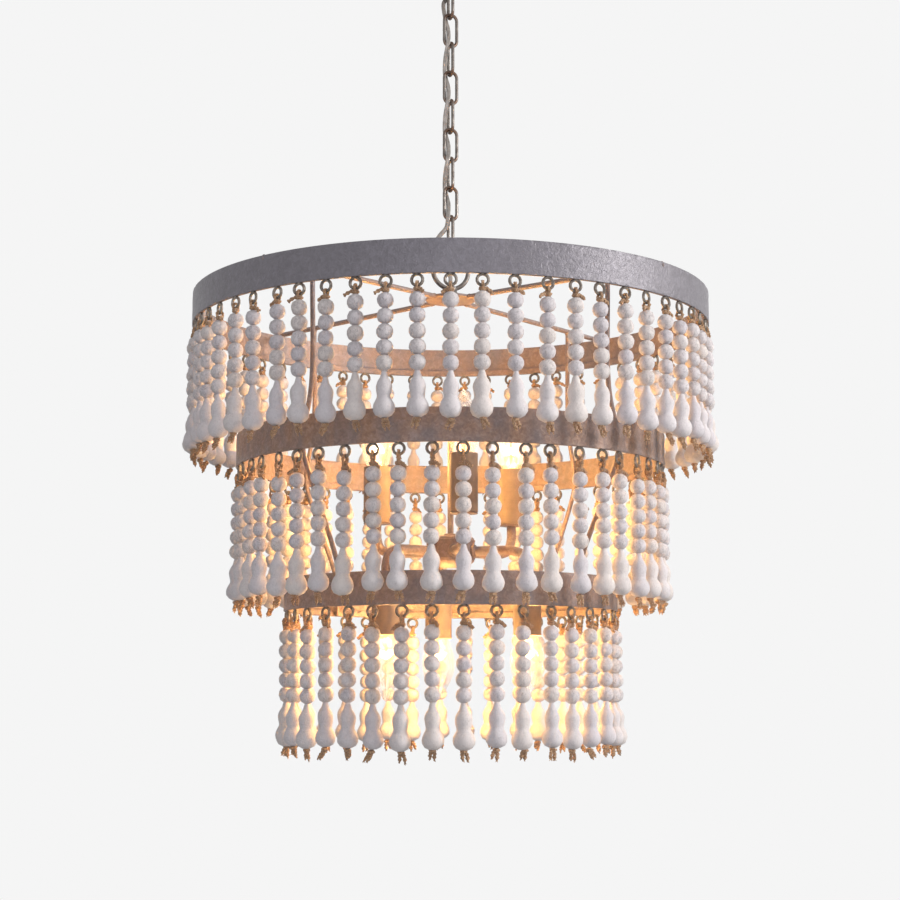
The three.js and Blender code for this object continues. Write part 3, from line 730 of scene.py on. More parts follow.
def hung_ring_tree():
    tree, given = geometry_tree("hung_ring", [
        ("Places", "NodeSocketInt"), ("Radius", "NodeSocketFloat"), ("First azimuth", "NodeSocketFloat"),
        ("Spacing spread", "NodeSocketFloat"), ("Leave out every", "NodeSocketInt"),
        ("Level", "NodeSocketFloat"), ("Repeats", "NodeSocketInt"), ("Pitch", "NodeSocketFloat"),
        ("Forms", "NodeSocketCollection"), ("Sway", "NodeSocketVector"),
        ("Sway from", "NodeSocketFloat"), ("Turn", "NodeSocketVector"),
        ("Size spread", "NodeSocketFloat"), ("Worn", "NodeSocketFloat"), ("Seed", "NodeSocketInt"),
        ("Finish", "NodeSocketMaterial"),
    ])
    ones, minus_ones = (1, 1, 1), (-1, -1, -1)

    # Places round the circle, without the ones that swing
    index = add(tree, "GeometryNodeInputIndex")
    step = add(tree, "ShaderNodeMath", {"operation": "DIVIDE"}, {0: 2 * math.pi, 1: given["Places"]})
    even = add(tree, "ShaderNodeMath", {"operation": "MULTIPLY_ADD"}, {
        0: index, 1: step, 2: given["First azimuth"],
    })
    off = add(tree, "FunctionNodeRandomValue", {"data_type": "FLOAT"}, {
        "Min": -1.0, "Max": 1.0, "ID": index, "Seed": given["Seed"],
    })
    loose = add(tree, "ShaderNodeMath", {"operation": "MULTIPLY"}, {0: off, 1: given["Spacing spread"]})
    azimuth = add(tree, "ShaderNodeMath", {"operation": "MULTIPLY_ADD"}, {0: loose, 1: step, 2: even})
    back = add(tree, "ShaderNodeMath", {"operation": "MULTIPLY"}, {0: given["Radius"], 1: -1.0})
    front = add(tree, "ShaderNodeCombineXYZ", links={"Y": back, "Z": given["Level"]})
    spot = add(tree, "ShaderNodeVectorRotate", {"rotation_type": "Z_AXIS"}, {
        "Vector": front, "Angle": azimuth,
    })
    run = add(tree, "GeometryNodePoints", links={"Count": given["Places"], "Position": spot})
    for label, value in (("azimuth", azimuth), ("place", index)):
        run = add(tree, "GeometryNodeStoreNamedAttribute", {"data_type": "FLOAT", "domain": "POINT"}, {
            "Geometry": run, "Name": label, "Value": value,
        })
    every = given["Leave out every"]
    in_turn = add(tree, "ShaderNodeMath", {"operation": "MODULO"}, {0: index, 1: every})
    limit = add(tree, "ShaderNodeMath", {"operation": "MINIMUM"}, {0: every, 1: 0.5})
    gap = add(tree, "ShaderNodeMath", {"operation": "LESS_THAN"}, {0: in_turn, 1: limit})
    run = add(tree, "GeometryNodeDeleteGeometry", {"domain": "POINT"}, {
        "Geometry": run, "Selection": gap,
    })

    # A run of forms down from each place, swaying more the lower it hangs
    copies = add(tree, "GeometryNodeDuplicateElements", {"domain": "POINT"}, {
        "Geometry": run, "Amount": given["Repeats"],
    }).node.outputs
    place, faced = (
        add(tree, "GeometryNodeInputNamedAttribute", {"data_type": "FLOAT"}, {"Name": label}, "Attribute")
        for label in ("place", "azimuth")
    )
    fall = add(tree, "ShaderNodeMath", {"operation": "MULTIPLY"}, {
        0: copies["Duplicate Index"], 1: given["Pitch"],
    })
    below = add(tree, "ShaderNodeMath", {"operation": "SUBTRACT"}, {
        0: given["Sway from"], 1: given["Level"],
    })
    depth = add(tree, "ShaderNodeMath", {"operation": "ADD"}, {0: fall, 1: below})
    reach = add(tree, "ShaderNodeCombineXYZ", links={"X": depth, "Y": depth, "Z": 1.0})
    stray = add(tree, "FunctionNodeRandomValue", {"data_type": "FLOAT_VECTOR"}, {
        "Min": minus_ones, "Max": ones, "ID": place, "Seed": given["Seed"],
    })
    swing = add(tree, "ShaderNodeVectorMath", {"operation": "MULTIPLY"}, {0: given["Sway"], 1: reach})
    swing = add(tree, "ShaderNodeVectorMath", {"operation": "MULTIPLY"}, {0: swing, 1: stray})
    down = add(tree, "ShaderNodeCombineXYZ", links={"Z": fall})
    offset = add(tree, "ShaderNodeVectorMath", {"operation": "SUBTRACT"}, {0: swing, 1: down})
    run = add(tree, "GeometryNodeSetPosition", links={"Geometry": copies["Geometry"], "Offset": offset})

    # Each form is turned, tilted and sized by chance
    own = add(tree, "GeometryNodeInputIndex")
    lean = add(tree, "FunctionNodeRandomValue", {"data_type": "FLOAT_VECTOR"}, {
        "Min": minus_ones, "Max": ones, "ID": own, "Seed": given["Seed"],
    })
    lean = add(tree, "ShaderNodeVectorMath", {"operation": "MULTIPLY"}, {0: lean, 1: given["Turn"]})
    facing = add(tree, "ShaderNodeCombineXYZ", links={"Z": faced})
    lean = add(tree, "ShaderNodeVectorMath", {"operation": "ADD"}, {0: lean, 1: facing})
    rotation = add(tree, "FunctionNodeEulerToRotation", links={0: lean})
    unlike = add(tree, "FunctionNodeRandomValue", {"data_type": "FLOAT"}, {
        "Min": -1.0, "Max": 1.0, "ID": own, "Seed": given["Seed"],
    })
    size = add(tree, "ShaderNodeMath", {"operation": "MULTIPLY_ADD"}, {
        0: unlike, 1: given["Size spread"], 2: 1.0,
    })
    forms = add(tree, "GeometryNodeCollectionInfo", links={
        "Collection": given["Forms"], "Separate Children": True, "Reset Children": True,
    })
    pick = add(tree, "FunctionNodeRandomValue", {"data_type": "INT"}, {
        "Min": 0, "Max": FORM_PICKS - 1, "ID": own, "Seed": given["Seed"],
    })
    run = add(tree, "GeometryNodeInstanceOnPoints", links={
        "Points": run, "Instance": forms, "Pick Instance": True, "Instance Index": pick,
        "Rotation": rotation, "Scale": size,
    })
    number = add(tree, "GeometryNodeInputIndex")
    cast = add(tree, "FunctionNodeRandomValue", {"data_type": "FLOAT"}, {
        "ID": number, "Seed": given["Seed"],
    })
    apart = add(tree, "FunctionNodeRandomValue", {"data_type": "FLOAT_VECTOR"}, {
        "Min": minus_ones, "Max": ones, "ID": number, "Seed": given["Seed"],
    })
    for label, kind, value in (
        ("tint", "FLOAT", cast), ("shift", "FLOAT_VECTOR", apart), ("worn", "FLOAT", given["Worn"]),
    ):
        run = add(tree, "GeometryNodeStoreNamedAttribute", {"data_type": kind, "domain": "INSTANCE"}, {
            "Geometry": run, "Name": label, "Value": value,
        })
    run = add(tree, "GeometryNodeRealizeInstances", links={"Geometry": run})
    run = add(tree, "GeometryNodeSetMaterial", links={"Geometry": run, "Material": given["Finish"]})
    add(tree, "NodeGroupOutput", links={0: run})
    return tree


def chain_tree():
    tree, given = geometry_tree("chain", [
        ("Links", "NodeSocketInt"), ("Top", "NodeSocketFloat"), ("Pitch", "NodeSocketFloat"),
        ("Turn", "NodeSocketFloat"), ("Forms", "NodeSocketCollection"), ("Finish", "NodeSocketMaterial"),
    ])
    index = add(tree, "GeometryNodeInputIndex")
    fall = add(tree, "ShaderNodeMath", {"operation": "MULTIPLY"}, {0: index, 1: given["Pitch"]})
    z = add(tree, "ShaderNodeMath", {"operation": "SUBTRACT"}, {0: given["Top"], 1: fall})
    spot = add(tree, "ShaderNodeCombineXYZ", links={"Z": z})
    run = add(tree, "GeometryNodePoints", links={"Count": given["Links"], "Position": spot})
    first = add(tree, "ShaderNodeMath", {"operation": "ADD"}, {0: given["Turn"], 1: math.pi / 2})
    turn = add(tree, "ShaderNodeMath", {"operation": "MULTIPLY_ADD"}, {
        0: index, 1: math.pi / 2, 2: first,
    })
    spin = add(tree, "ShaderNodeCombineXYZ", links={"Z": turn})
    rotation = add(tree, "FunctionNodeEulerToRotation", links={0: spin})
    forms = add(tree, "GeometryNodeCollectionInfo", links={
        "Collection": given["Forms"], "Separate Children": True, "Reset Children": True,
    })
    run = add(tree, "GeometryNodeInstanceOnPoints", links={
        "Points": run, "Instance": forms, "Rotation": rotation,
    })
    run = add(tree, "GeometryNodeRealizeInstances", links={"Geometry": run})
    run = add(tree, "GeometryNodeSetMaterial", links={"Geometry": run, "Material": given["Finish"]})
    add(tree, "NodeGroupOutput", links={0: run})
    return tree


RING_TREE = hung_ring_tree()
CHAIN_TREE = chain_tree()
shelves = []


def shelf(name, *shapes, crease=60):
    """A collection of the forms that a tree sets out."""
    box = bpy.data.collections.new(name)
    bpy.context.scene.collection.children.link(box)
    for i, shape in enumerate(shapes):
        form = mesh_object(f"{name}_{i}", shape, crease)
        bpy.context.scene.collection.objects.unlink(form)
        box.objects.link(form)
    shelves.append(box)
    return box


def ring_of(name, forms, finish, places=1, radius=0.0, azimuth=0.0, level=0.0, repeats=1, pitch=0.0,
            leave_out=0, spacing=0.0, lean=0.0, drop=0.0, sway_from=0.0, tilt=0.0, turn=0.0,
            size=0.0, worn=0.0, seed=1):
    """Forms set round a circle; sizes in millimetres, angles in degrees."""
    return grown(name, RING_TREE, {
        "Places": places, "Radius": radius * MM, "First azimuth": math.radians(azimuth),
        "Spacing spread": spacing, "Leave out every": leave_out, "Level": level * MM, "Repeats": repeats,
        "Pitch": pitch * MM, "Forms": forms, "Sway": (lean, lean, drop * MM),
        "Sway from": sway_from * MM, "Turn": [math.radians(v) for v in (tilt, tilt, turn)],
        "Size spread": size, "Worn": worn, "Seed": seed, "Finish": finish,
    })


def merged(name, things):
    """Joins plain meshes into the first one."""
    with bpy.context.temp_override(
        active_object=things[0], object=things[0],
        selected_objects=things, selected_editable_objects=things,
    ):
        bpy.ops.object.join()
    things[0].name = name
    return things[0]


# Forms of the strands
# The bead's shares are of its radius and half length; the gourd's second value is a share of its length
BEAD_SHARES = [(0.36, -1.0), (0.80, -0.70), (0.99, -0.24), (0.99, 0.24), (0.80, 0.70), (0.36, 1.0)]
GOURD_PROFILE = [
    (2.6, 0.0), (3.6, 0.07), (4.4, 0.14), (6.6, 0.21), (8.0, 0.28), (8.4, 0.35), (7.9, 0.44),
    (7.0, 0.53), (7.0, 0.58), (8.8, 0.65), (10.2, 0.72), (10.7, 0.79), (10.2, 0.87), (7.9, 0.95),
    (3.6, 1.0),
]


def roughed(shape, kind):
    """Leaves the marks of a coarse turning on a form, different for each kind."""
    points, faces = shape
    apart = Vector((0, 0, 100 * kind))
    moved = []
    for point in points:
        mark = TURNING_MARK * noise.noise((point + apart) / TURNING_LUMP)
        moved.append(Vector((point.x * (1 + mark), point.y * (1 + mark), point.z)))
    return moved, faces


def bead_form(kind):
    """A turned bead: a barrel faced off at its bore."""
    profile = [(BEAD_RADIUS * wide, BEAD_HALF_LENGTH * high) for wide, high in BEAD_SHARES]
    return roughed(lathe(profile, 12), kind)


def gourd_form(kind):
    """A turned gourd, drawn down from its neck: shoulder, waist and ball. No two kinds are as slim."""
    slim = GOURD_SLIM * kind / GOURD_KINDS
    profile = []
    for radius, share in GOURD_PROFILE:
        profile.append((radius * (1 - slim * (1 - share)), -share * GOURD_LENGTH))
    return roughed(lathe(profile, 12), kind)


def eyelet_form():
    """A wire ring drawn from the hoop's bottom edge, with the weld that holds it."""
    path = []
    for i in range(14):
        angle = 2 * math.pi * i / 14
        rise = EYELET_RADIUS * math.cos(angle)
        path.append(Vector((EYELET_RADIUS * math.sin(angle), 0, EYELET_CENTRE + rise)))
    ring = swept(path, EYELET_WIRE / 2, 6, closed=True)
    weld = lathe([(0, -1.4), (2.0, -0.5), (2.1, 0.8), (0, 2.2)], 7)
    return together(ring, weld)


def twine(path, ply, turns, count, sides=4):
    """Two plies twisted round a path."""
    line = curve_through(path, count, 6)
    tangent = (line[-1] - line[0]).normalized()
    lead = Vector((1, 0, 0)) if abs(tangent.x) < 0.8 else Vector((0, 1, 0))
    plies = []
    for start in (0, math.pi):
        run = []
        for i, centre in enumerate(line):
            ahead = (line[min(i + 1, count - 1)] - line[max(i - 1, 0)]).normalized()
            u = (lead - ahead * lead.dot(ahead)).normalized()
            v = ahead.cross(u)
            angle = start + 2 * math.pi * turns * i / (count - 1)
            run.append(centre + (u * math.cos(angle) + v * math.sin(angle)) * ply * 0.8)
        plies.append(swept(run, ply, sides))
    return together(*plies)


def knot(z, height, radius, ply, turns=2.2, count=13):
    """A cord wound round itself."""
    path = []
    for i in range(count):
        share = i / (count - 1)
        angle = 2 * math.pi * turns * share
        swell = radius * (0.72 + 0.4 * math.sin(math.pi * share))
        rise = height * (0.5 - share)
        path.append(Vector((swell * math.cos(angle), swell * math.sin(angle), z + rise)))
    return swept(path, ply, 5)


def jute_form(first_bead, chance):
    """One strand's twine from the hoop's bottom edge: loop, knots, stub end and two frayed ends."""
    bead_top = -first_bead + BEAD_HALF_LENGTH
    wire = EYELET_CENTRE - EYELET_RADIUS
    knot_z = bead_top + KNOT_HEIGHT * 0.5
    clear = EYELET_WIRE / 2 + PLY * 1.4
    half = (knot_z + wire) / 2
    loop = twine([
        (0, 0.9, knot_z), (0, clear * 0.9, half), (0, clear, wire), (0, 0, wire + clear),
        (0, -clear, wire), (0, -clear * 0.9, half), (0, -0.9, knot_z),
    ], PLY * 0.8, 2.0, 11)
    shapes = [loop, knot(knot_z, KNOT_HEIGHT * 0.5, 2.5, 1.5)]
    if half > knot_z + KNOT_HEIGHT * 0.4:
        shapes.append(knot(half, KNOT_HEIGHT * 0.7, 1.7, 1.2, 1.6, 9))
    side = chance.choice((-1, 1, 1, 1))
    forward = chance.uniform(-1.6, 0.4)
    reach = chance.uniform(7.0, 10.0)
    out = Vector((side * chance.uniform(0.75, 1), forward * 0.5, -chance.uniform(0.4, 0.9)))
    out.normalize()
    start = Vector((side * 1.6, forward * 0.6, knot_z + 0.6))
    arch = start + out * reach * 0.4 + Vector((0, 0, 0.9))
    shapes.append(twine([start, arch, start + out * reach], PLY, 1.2, 6))

    foot = -first_bead - (BEAD_COUNT - 0.5) * BEAD_PITCH - GOURD_LENGTH
    shapes.append(knot(foot - 1.6, 2.6, 2.4, 1.5, 1.8, 11))
    lean = Vector((chance.uniform(-0.45, 0.6), chance.uniform(-0.4, 0.3), -1)).normalized()
    for side in (-1, 1):
        apart = Vector((side * chance.uniform(0.02, 0.2), side * chance.uniform(-0.1, 0.1), 0))
        away = (lean + apart).normalized()
        root = Vector((side * 1.2, 0, foot - 1.6))
        end = root + away * TAIL_LENGTH * chance.uniform(0.55, 0.75)
        bow = Vector((side * chance.uniform(0.2, 1), chance.uniform(-0.6, 0.6), 0))
        shapes.append(twine([root, root.lerp(end, 0.5) + bow, end], PLY, 1.3, 6))
        for _ in range(3):
            fray = away + Vector([chance.uniform(-spread, spread) for spread in (0.7, 0.5, 0.2)])
            tip = end + fray.normalized() * TAIL_LENGTH * chance.uniform(0.15, 0.28)
            bend = end.lerp(tip, 0.5) + Vector((chance.uniform(-0.5, 0.5), chance.uniform(-0.4, 0.4), 0))
            shapes.append(swept([end - away * 1.2, bend, tip], [1.0, 0.7, 0.3], 3))
    return together(*shapes)


# Frame: hoops, hem bars, cross frame, tier rods
def rounded_band(inner, outer, low, high, soft):
    return [
        (inner, low + soft), (inner + soft, low), (outer - soft, low), (outer, low + soft),
        (outer, high - soft), (outer - soft, high), (inner + soft, high), (inner, high - soft),
    ]


def hammered_band(inner, outer, low, high, soft):
    """A sheet hoop whose outer face carries the hammer's shallow blows."""
    face = [(outer, low + soft + (high - low - 2 * soft) * k / HOOP_ROWS) for k in range(HOOP_ROWS + 1)]
    profile = [(inner, low + soft), (inner + soft, low), (outer - soft, low), *face,
               (outer - soft, high), (inner + soft, high), (inner, high - soft)]
    points, faces = lathe(profile, HOOP_STEPS, closed=True)
    beaten = []
    for point in points:
        radius = math.hypot(point.x, point.y)
        if radius > outer - 0.01:
            fine = noise.noise(point / (HAMMER_LUMP * HAMMER_FINE_SHARE))
            blow = noise.noise(point / HAMMER_LUMP) + 0.5 * fine
            scale = (radius + HAMMER_DEPTH * blow) / radius
            point = Vector((point.x * scale, point.y * scale, point.z))
        beaten.append(point)
    return beaten, faces


def hoop_levels(tier):
    low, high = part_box(f"hoop_{tier['name']}")
    return low.z / MM, high.z / MM


def hoop_inner(tier):
    return tier["radius"] - HOOP_WALL


def strand_circle(tier):
    return hoop_inner(tier) - SEAT - HEM_THICK / 2


def with_painted_glow(thing, outside=PAINTED_GLOW_INSIDE, middle=0.0):
    """Marks how much of the bulbs' warm light and shade is painted on: as given outside this circle, and
    as inside the hoops within it.
    """
    return marked(thing, "thin", lambda spot: outside if spot.xy.length > middle * MM else PAINTED_GLOW_INSIDE)


def hoops():
    for tier in TIERS:
        name = tier["name"]
        low, high = hoop_levels(tier)
        band = hammered_band(hoop_inner(tier), tier["radius"], low, high, 0.3)
        hoop = piece(f"painted_hoop_{name}", band, "fixture", PAINT, [f"hoop_{name}"])
        # Painted warm lamp light and shade on the hoop's outside, as much as its tier lists
        with_painted_glow(hoop, tier["thin"], hoop_inner(tier) + HOOP_WALL / 2)
        outer = hoop_inner(tier) - SEAT
        bar = lathe(rounded_band(outer - HEM_THICK, outer, low, low + HEM_HEIGHT, 0.6), 192, closed=True)
        hems = [f"beaded_hem_{name}_{k + 1}" for k in range(SECTORS)]
        with_painted_glow(piece(f"hem_bar_{name}", bar, "fixture", PAINT, hems))


EYELETS = shelf("eyelets", eyelet_form())
BEADS = shelf("beads", *[bead_form(kind) for kind in range(BEAD_KINDS)], crease=50)
GOURDS = shelf("gourds", *[gourd_form(kind) for kind in range(GOURD_KINDS)], crease=70)


def hung_strands(label, body, twines, common, first, nodes=()):
    """The beads, gourds and twine of the strands at some places, in one wood and one jute piece."""
    gourd_level = first - (BEAD_COUNT - 0.5) * BEAD_PITCH
    beads = ring_of(f"beads_{label}", BEADS, WOOD, level=first, repeats=BEAD_COUNT, pitch=BEAD_PITCH,
                    turn=180, tilt=4, size=0.03, worn=1.0, **common)
    gourds = ring_of(f"gourds_{label}", GOURDS, WOOD, level=gourd_level,
                     turn=180, tilt=1.4, size=0.03, worn=0.4, **common)
    wood = merged(f"wood_strands_{label}", [beads, gourds])
    finished(wood, body, None, nodes)
    level = common["sway_from"]
    cord = ring_of(f"jute_{label}", twines, JUTE, level=level, tilt=0.6, turn=6, **common)
    finished(cord, body, None)


def strands():
    """The strands hang still with their tier, but for three that swing on bodies of their own."""
    for number, tier in enumerate(TIERS):
        low, _ = hoop_levels(tier)
        name, count, first = tier["name"], tier["strands"], low - tier["first_bead"]
        chance = random.Random(TWINE_SEED + number)
        forms = [jute_form(tier["first_bead"], chance) for _ in range(TWINE_KINDS)]
        twines = shelf(f"twines_{name}", *forms)
        circle = {"radius": strand_circle(tier), "azimuth": tier["phase"]}
        still = {"places": count, "leave_out": count // SECTORS, "spacing": SPACING_SHARE,
                 "seed": STILL_SEED + number}
        rings = [
            ring_of(f"eyelets_{name}", EYELETS, WIRE, level=low, tilt=3, turn=9, **circle, **still),
            ring_of(f"eyelets_{name}_swinging", EYELETS, WIRE, places=SECTORS, level=low, **circle),
        ]
        finished(merged(f"eyelets_{name}", rings), "fixture", None)
        sway = {"lean": STILL_LEAN, "drop": STILL_DROP, "sway_from": low}
        hung_strands(name, "fixture", twines, {**circle, **still, **sway}, first)
        for k in range(SECTORS):
            body = f"strand_{name}_{k + 1}"
            one = {"radius": circle["radius"], "azimuth": tier["phase"] + 360 * k / SECTORS,
                   "lean": SWINGING_LEAN, "drop": SWINGING_DROP, "sway_from": low,
                   "seed": SWINGING_SEED + SECTORS * number + k}
            hung_strands(f"{name}_swinging_{k + 1}", body, twines, one, first, [body])


def weld(centre, radius):
    """A small round weld."""
    bead = lathe([(0, -radius), (radius * 0.7, -radius * 0.7), (radius, 0), (radius * 0.7, radius * 0.7),
                  (0, radius)], 12)
    return placed(bead, Matrix.Translation(centre))


def frame_top():
    _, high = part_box("cross_frame")
    return high.z / MM


def arm_level(radius):
    """The level of the arms' middle line, which falls towards the top hoop."""
    return frame_top() - DISC_THICK / 2 - ARM_FALL * radius / hoop_inner(TIERS[0])


def cross_frame():
    """Hub disc and its four arms, welded to the disc's edge and to the top hoop."""
    top = frame_top()
    low = top - DISC_THICK
    shapes = [lathe([
        (STEM_BORE, top), (DISC_RADIUS - 2, top), (DISC_RADIUS - 0.6, top - 0.5),
        (DISC_RADIUS, top - 1.4), (DISC_RADIUS, low + 1.4), (DISC_RADIUS - 0.6, low + 0.5),
        (DISC_RADIUS - 2, low), (STEM_BORE, low),
    ], 64, closed=True)]
    near, reach = DISC_RADIUS - 3, hoop_inner(TIERS[0])
    for k in range(ARM_COUNT):
        azimuth = ARM_TURN + 360 * k / ARM_COUNT
        ends = [around(near, azimuth, arm_level(near)), around(reach + SEAT, azimuth, arm_level(reach))]
        shapes.append(swept(curve_through(ends, 24), ARM_RADIUS, 20))
        shapes.append(weld(around(DISC_RADIUS, azimuth, arm_level(near)), ARM_RADIUS * 1.25))
        shapes.append(weld(around(reach - 0.8, azimuth, arm_level(reach) - 1.2), ARM_RADIUS * 1.1))
    with_painted_glow(piece("cross_frame_bars", together(*shapes), "fixture", PAINT, ["cross_frame"]))


def rod_circle(tier):
    """How far out a tier rod's middle line runs, just inside the hem bar."""
    bar = (hoop_inner(tier) - SEAT / HOOP_FLAT_SHARE - HEM_THICK) * HOOP_FLAT_SHARE
    return bar - SEAT - ROD_RADIUS


def tier_rods():
    """Four bent rods from the arms down to the middle hoop, and slanting in to the bottom one."""
    (middle_low, middle_high), (bottom_low, bottom_high) = (hoop_levels(tier) for tier in TIERS[1:])
    middle_out, bottom_out = (rod_circle(tier) for tier in TIERS[1:])
    height = middle_high - middle_low
    top = arm_level(ROD_TOP_RADIUS) - ARM_RADIUS
    for k in range(ARM_COUNT):
        azimuth = ARM_TURN + 360 * k / ARM_COUNT
        route = [
            (ROD_TOP_RADIUS, top - SEAT), (ROD_TOP_RADIUS, middle_high + height),
            (middle_out, middle_high - height / 2), (middle_out, middle_low),
            (bottom_out, bottom_high), (bottom_out, bottom_low),
        ]
        path = curve_through([around(radius, azimuth, z) for radius, z in route], 96)
        blobs = [weld(around(ROD_TOP_RADIUS, azimuth, top), ROD_RADIUS * 1.3)]
        for radius, low in ((middle_out, middle_low), (bottom_out, bottom_low)):
            place = around(radius + ROD_RADIUS, azimuth, low + HEM_HEIGHT / 2)
            blobs.append(weld(place, ROD_RADIUS * 1.1))
        rod = together(swept(path, ROD_RADIUS, 16), *blobs)
        with_painted_glow(piece(f"slanted_rod_{k + 1}", rod, "fixture", PAINT, [f"tier_rod_{k + 1}"]))


# Profiles of the turned and drawn pieces: (radius, height above the foot)
CLUSTER_PROFILE = [
    (0, 0.2), (4.5, 0), (9.5, 0.3), (11.5, 1.0), (17.5, 2.4), (21.8, 4.0), (24.4, 6.2), (25.2, 7.6),
    (25.0, 8.4), (26.0, 9.2), (26.0, 10.6), (25.5, 11.4), (25.5, 26.6), (26.0, 27.4), (26.0, 28.8),
    (24.9, 29.8), (25.0, 30.6), (23.4, 32.2), (20.0, 33.0), (12.0, 33.3), (8.4, 33.5), (7.2, 34.0),
    (7.0, 34.8), (7.0, 35.5), (6.4, CLUSTER_HEIGHT), (0, CLUSTER_HEIGHT),
]
FERRULE_PROFILE = [(0, -1), (6.6, -1), (7.0, -0.4), (7.0, 2.0), (6.3, 3.0), (5.6, 3.4), (0, 3.4)]
HOLDER_PROFILE = [
    (0, 0), (FLANGE_RADIUS - 3.5, 0), (FLANGE_RADIUS - 0.5, 0.4), (FLANGE_RADIUS, 1.0),
    (FLANGE_RADIUS - 0.5, 1.7), (HOLDER_RADIUS, FLANGE_THICK), (HOLDER_RADIUS, HOLDER_HEIGHT - 1),
    (HOLDER_RADIUS - 0.8, HOLDER_HEIGHT), (HOLDER_BORE, HOLDER_HEIGHT), (HOLDER_BORE, HOLDER_FLOOR),
    (0, HOLDER_FLOOR),
]
BULB_PROFILE = [
    (9.3, 0), (9.6, 2.0), (10.4, 6), (12.6, 13), (15.2, 20), (17.2, 27), (18.0, 34), (17.6, 41),
    (16.0, 48), (13.2, 55), (9.8, 61), (6.6, 66), (3.8, 70), (1.8, 73), (0.0, 75),
]
MOUNT_PROFILE = [(0, 0), (4.2, 0), (3.2, 6), (1.6, 11), (1.2, 17), (0, 18)]
COLLAR_PROFILE = [
    (3.2, 0), (6.6, 0), (7.5, 0.8), (7.5, 6.2), (6.8, 7.2), (7.2, 8.4), (7.2, 10.5), (5.4, 12.6),
    (3.2, COLLAR_DROP),
]
NECK_PROFILE = [
    (3.2, 0), (6.4, 0), (7.5, 0.9), (7.5, 3.7), (6.9, 4.5), (7.5, 5.3), (7.5, 8.2), (6.8, 9), (5, 9),
    (5, 16), (3.2, 16),
]
NUT_PROFILE = [(5, 0), (9.4, 0), (10, 0.4), (10, NUT_HEIGHT - 0.4), (9.4, NUT_HEIGHT), (5, NUT_HEIGHT)]
CUP_PROFILE = [
    (5.3, 0), (43, 0), (45.6, 0.3), (53.6, 4.2), (55.6, 5.9), (CUP_RADIUS - 0.5, CUP_DEPTH - 1.2),
    (CUP_RADIUS, CUP_DEPTH - 0.3), (CUP_RADIUS, CUP_DEPTH), (CUP_RADIUS - CUP_WALL, CUP_DEPTH),
    (CUP_RADIUS - 1.7, CUP_DEPTH - 1.4), (54.5, 7.0), (52.6, 5.3), (45, 1.5), (43, CUP_WALL),
    (5.3, CUP_WALL),
]
SCREW_PROFILE = [
    (0, 0), (1.8, 0.1), (3.2, 0.6), (3.6, 1.3), (4.6, 1.7), (5.7, 3.7), (6, 5.9), (5.6, 7.7),
    (5.2, SCREW_NUT_HEIGHT), (2, SCREW_NUT_HEIGHT), (2, 28.8), (0, 28.8),
]


def raised(profile, foot):
    return [(radius, foot + z) for radius, z in profile]


# Lamps
def lamp_place(k):
    """Where lamp k stands: upright from its flange, turned over where the lamp hangs."""
    up = k % 2 == 0
    azimuth = LAMP_TURN + 360 * k / LAMP_COUNT
    base = HOLDER_UP if up else HOLDER_DOWN
    over = Matrix.Identity(4) if up else Matrix.Rotation(math.pi, 4, "X")
    return up, azimuth, base, Matrix.Translation(around(LAMP_PITCH_RADIUS, azimuth, base)) @ over


def lamp_arm(k):
    """Ferrule, curved tube and lampholder of lamp k."""
    up, azimuth, base, place = lamp_place(k)
    turn = 1 if up else -1
    out = Matrix.Rotation(math.radians(azimuth), 4, "Z")
    out = out @ Matrix.Translation((0, -FERRULE_PLACE, LAMP_LEVEL)) @ Matrix.Rotation(math.pi / 2, 4, "X")
    reach, bend = LAMP_PITCH_RADIUS, LAMP_ARM_BEND
    route = [
        (LAMP_ARM_ROOT, 0), (reach - bend * 1.6, 0), (reach - bend, 0.5),
        (reach - bend * 0.29, bend * 0.29), (reach, bend), (reach, turn * (base - LAMP_LEVEL) + 0.5),
    ]
    path = curve_through([around(radius, azimuth, LAMP_LEVEL + turn * z) for radius, z in route], 48)
    return [
        placed(lathe(FERRULE_PROFILE, 24), out), swept(path, LAMP_ARM_RADIUS, 20),
        placed(lathe(HOLDER_PROFILE, 36), place),
    ]


def lamp_cluster():
    stem_low, stem_high = (v.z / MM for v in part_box("stem_tube"))
    stem = lathe(rounded_band(STEM_BORE, STEM_RADIUS, stem_low, stem_high, 0.2), 32, closed=True)
    with_painted_glow(piece("stem", stem, "fixture", PAINT, ["stem_tube"]))
    parts = [lathe(raised(CLUSTER_PROFILE, stem_low - SEAT - CLUSTER_HEIGHT), 72)]
    for k in range(LAMP_COUNT):
        parts += lamp_arm(k)
    with_painted_glow(piece("lamp_arms", together(*parts), "fixture", PAINT, ["lamp_cluster"]))
    for k in range(LAMP_COUNT):
        place = lamp_place(k)[-1]
        sleeve(k, place)
        bulb(k, place)


def sleeve(k, place):
    low = FLANGE_THICK + SEAT
    wall = rounded_band(SLEEVE_RADIUS - SLEEVE_WALL, SLEEVE_RADIUS, low, low + SLEEVE_LENGTH, 0.35)
    tube = placed(lathe(wall, 48, closed=True), place)
    piece(f"sleeve_{k + 1}", tube, "fixture", SLEEVE, [f"candle_sleeve_{k + 1}"])


def glass_shape():
    """The blown glass, open at its neck."""
    inside = []
    for radius, z in BULB_PROFILE:
        inside.append((max(radius - GLASS_WALL, 0.0), BULB_NECK + (z if radius > 0 else z - 0.8)))
    return lathe(raised(BULB_PROFILE, BULB_NECK) + inside[::-1], 40, closed=True)


def cap_shape():
    """The threaded cap with its contact."""
    profile = raised([(0, 0), (3.2, 0), (4.2, 1.4), (CAP_RADIUS - 0.4, 2.6)], BULB_SEAT)
    for i in range(THREAD_TURNS):
        z = BULB_SEAT + 4.2 + THREAD_PITCH * i
        profile += [(CAP_RADIUS, z), (CAP_RADIUS - 0.5, z + THREAD_PITCH / 2)]
    profile += raised([(CAP_RADIUS, -2.2), (9.2, -0.1), (0, -0.1)], BULB_NECK)
    return lathe(profile, 28)


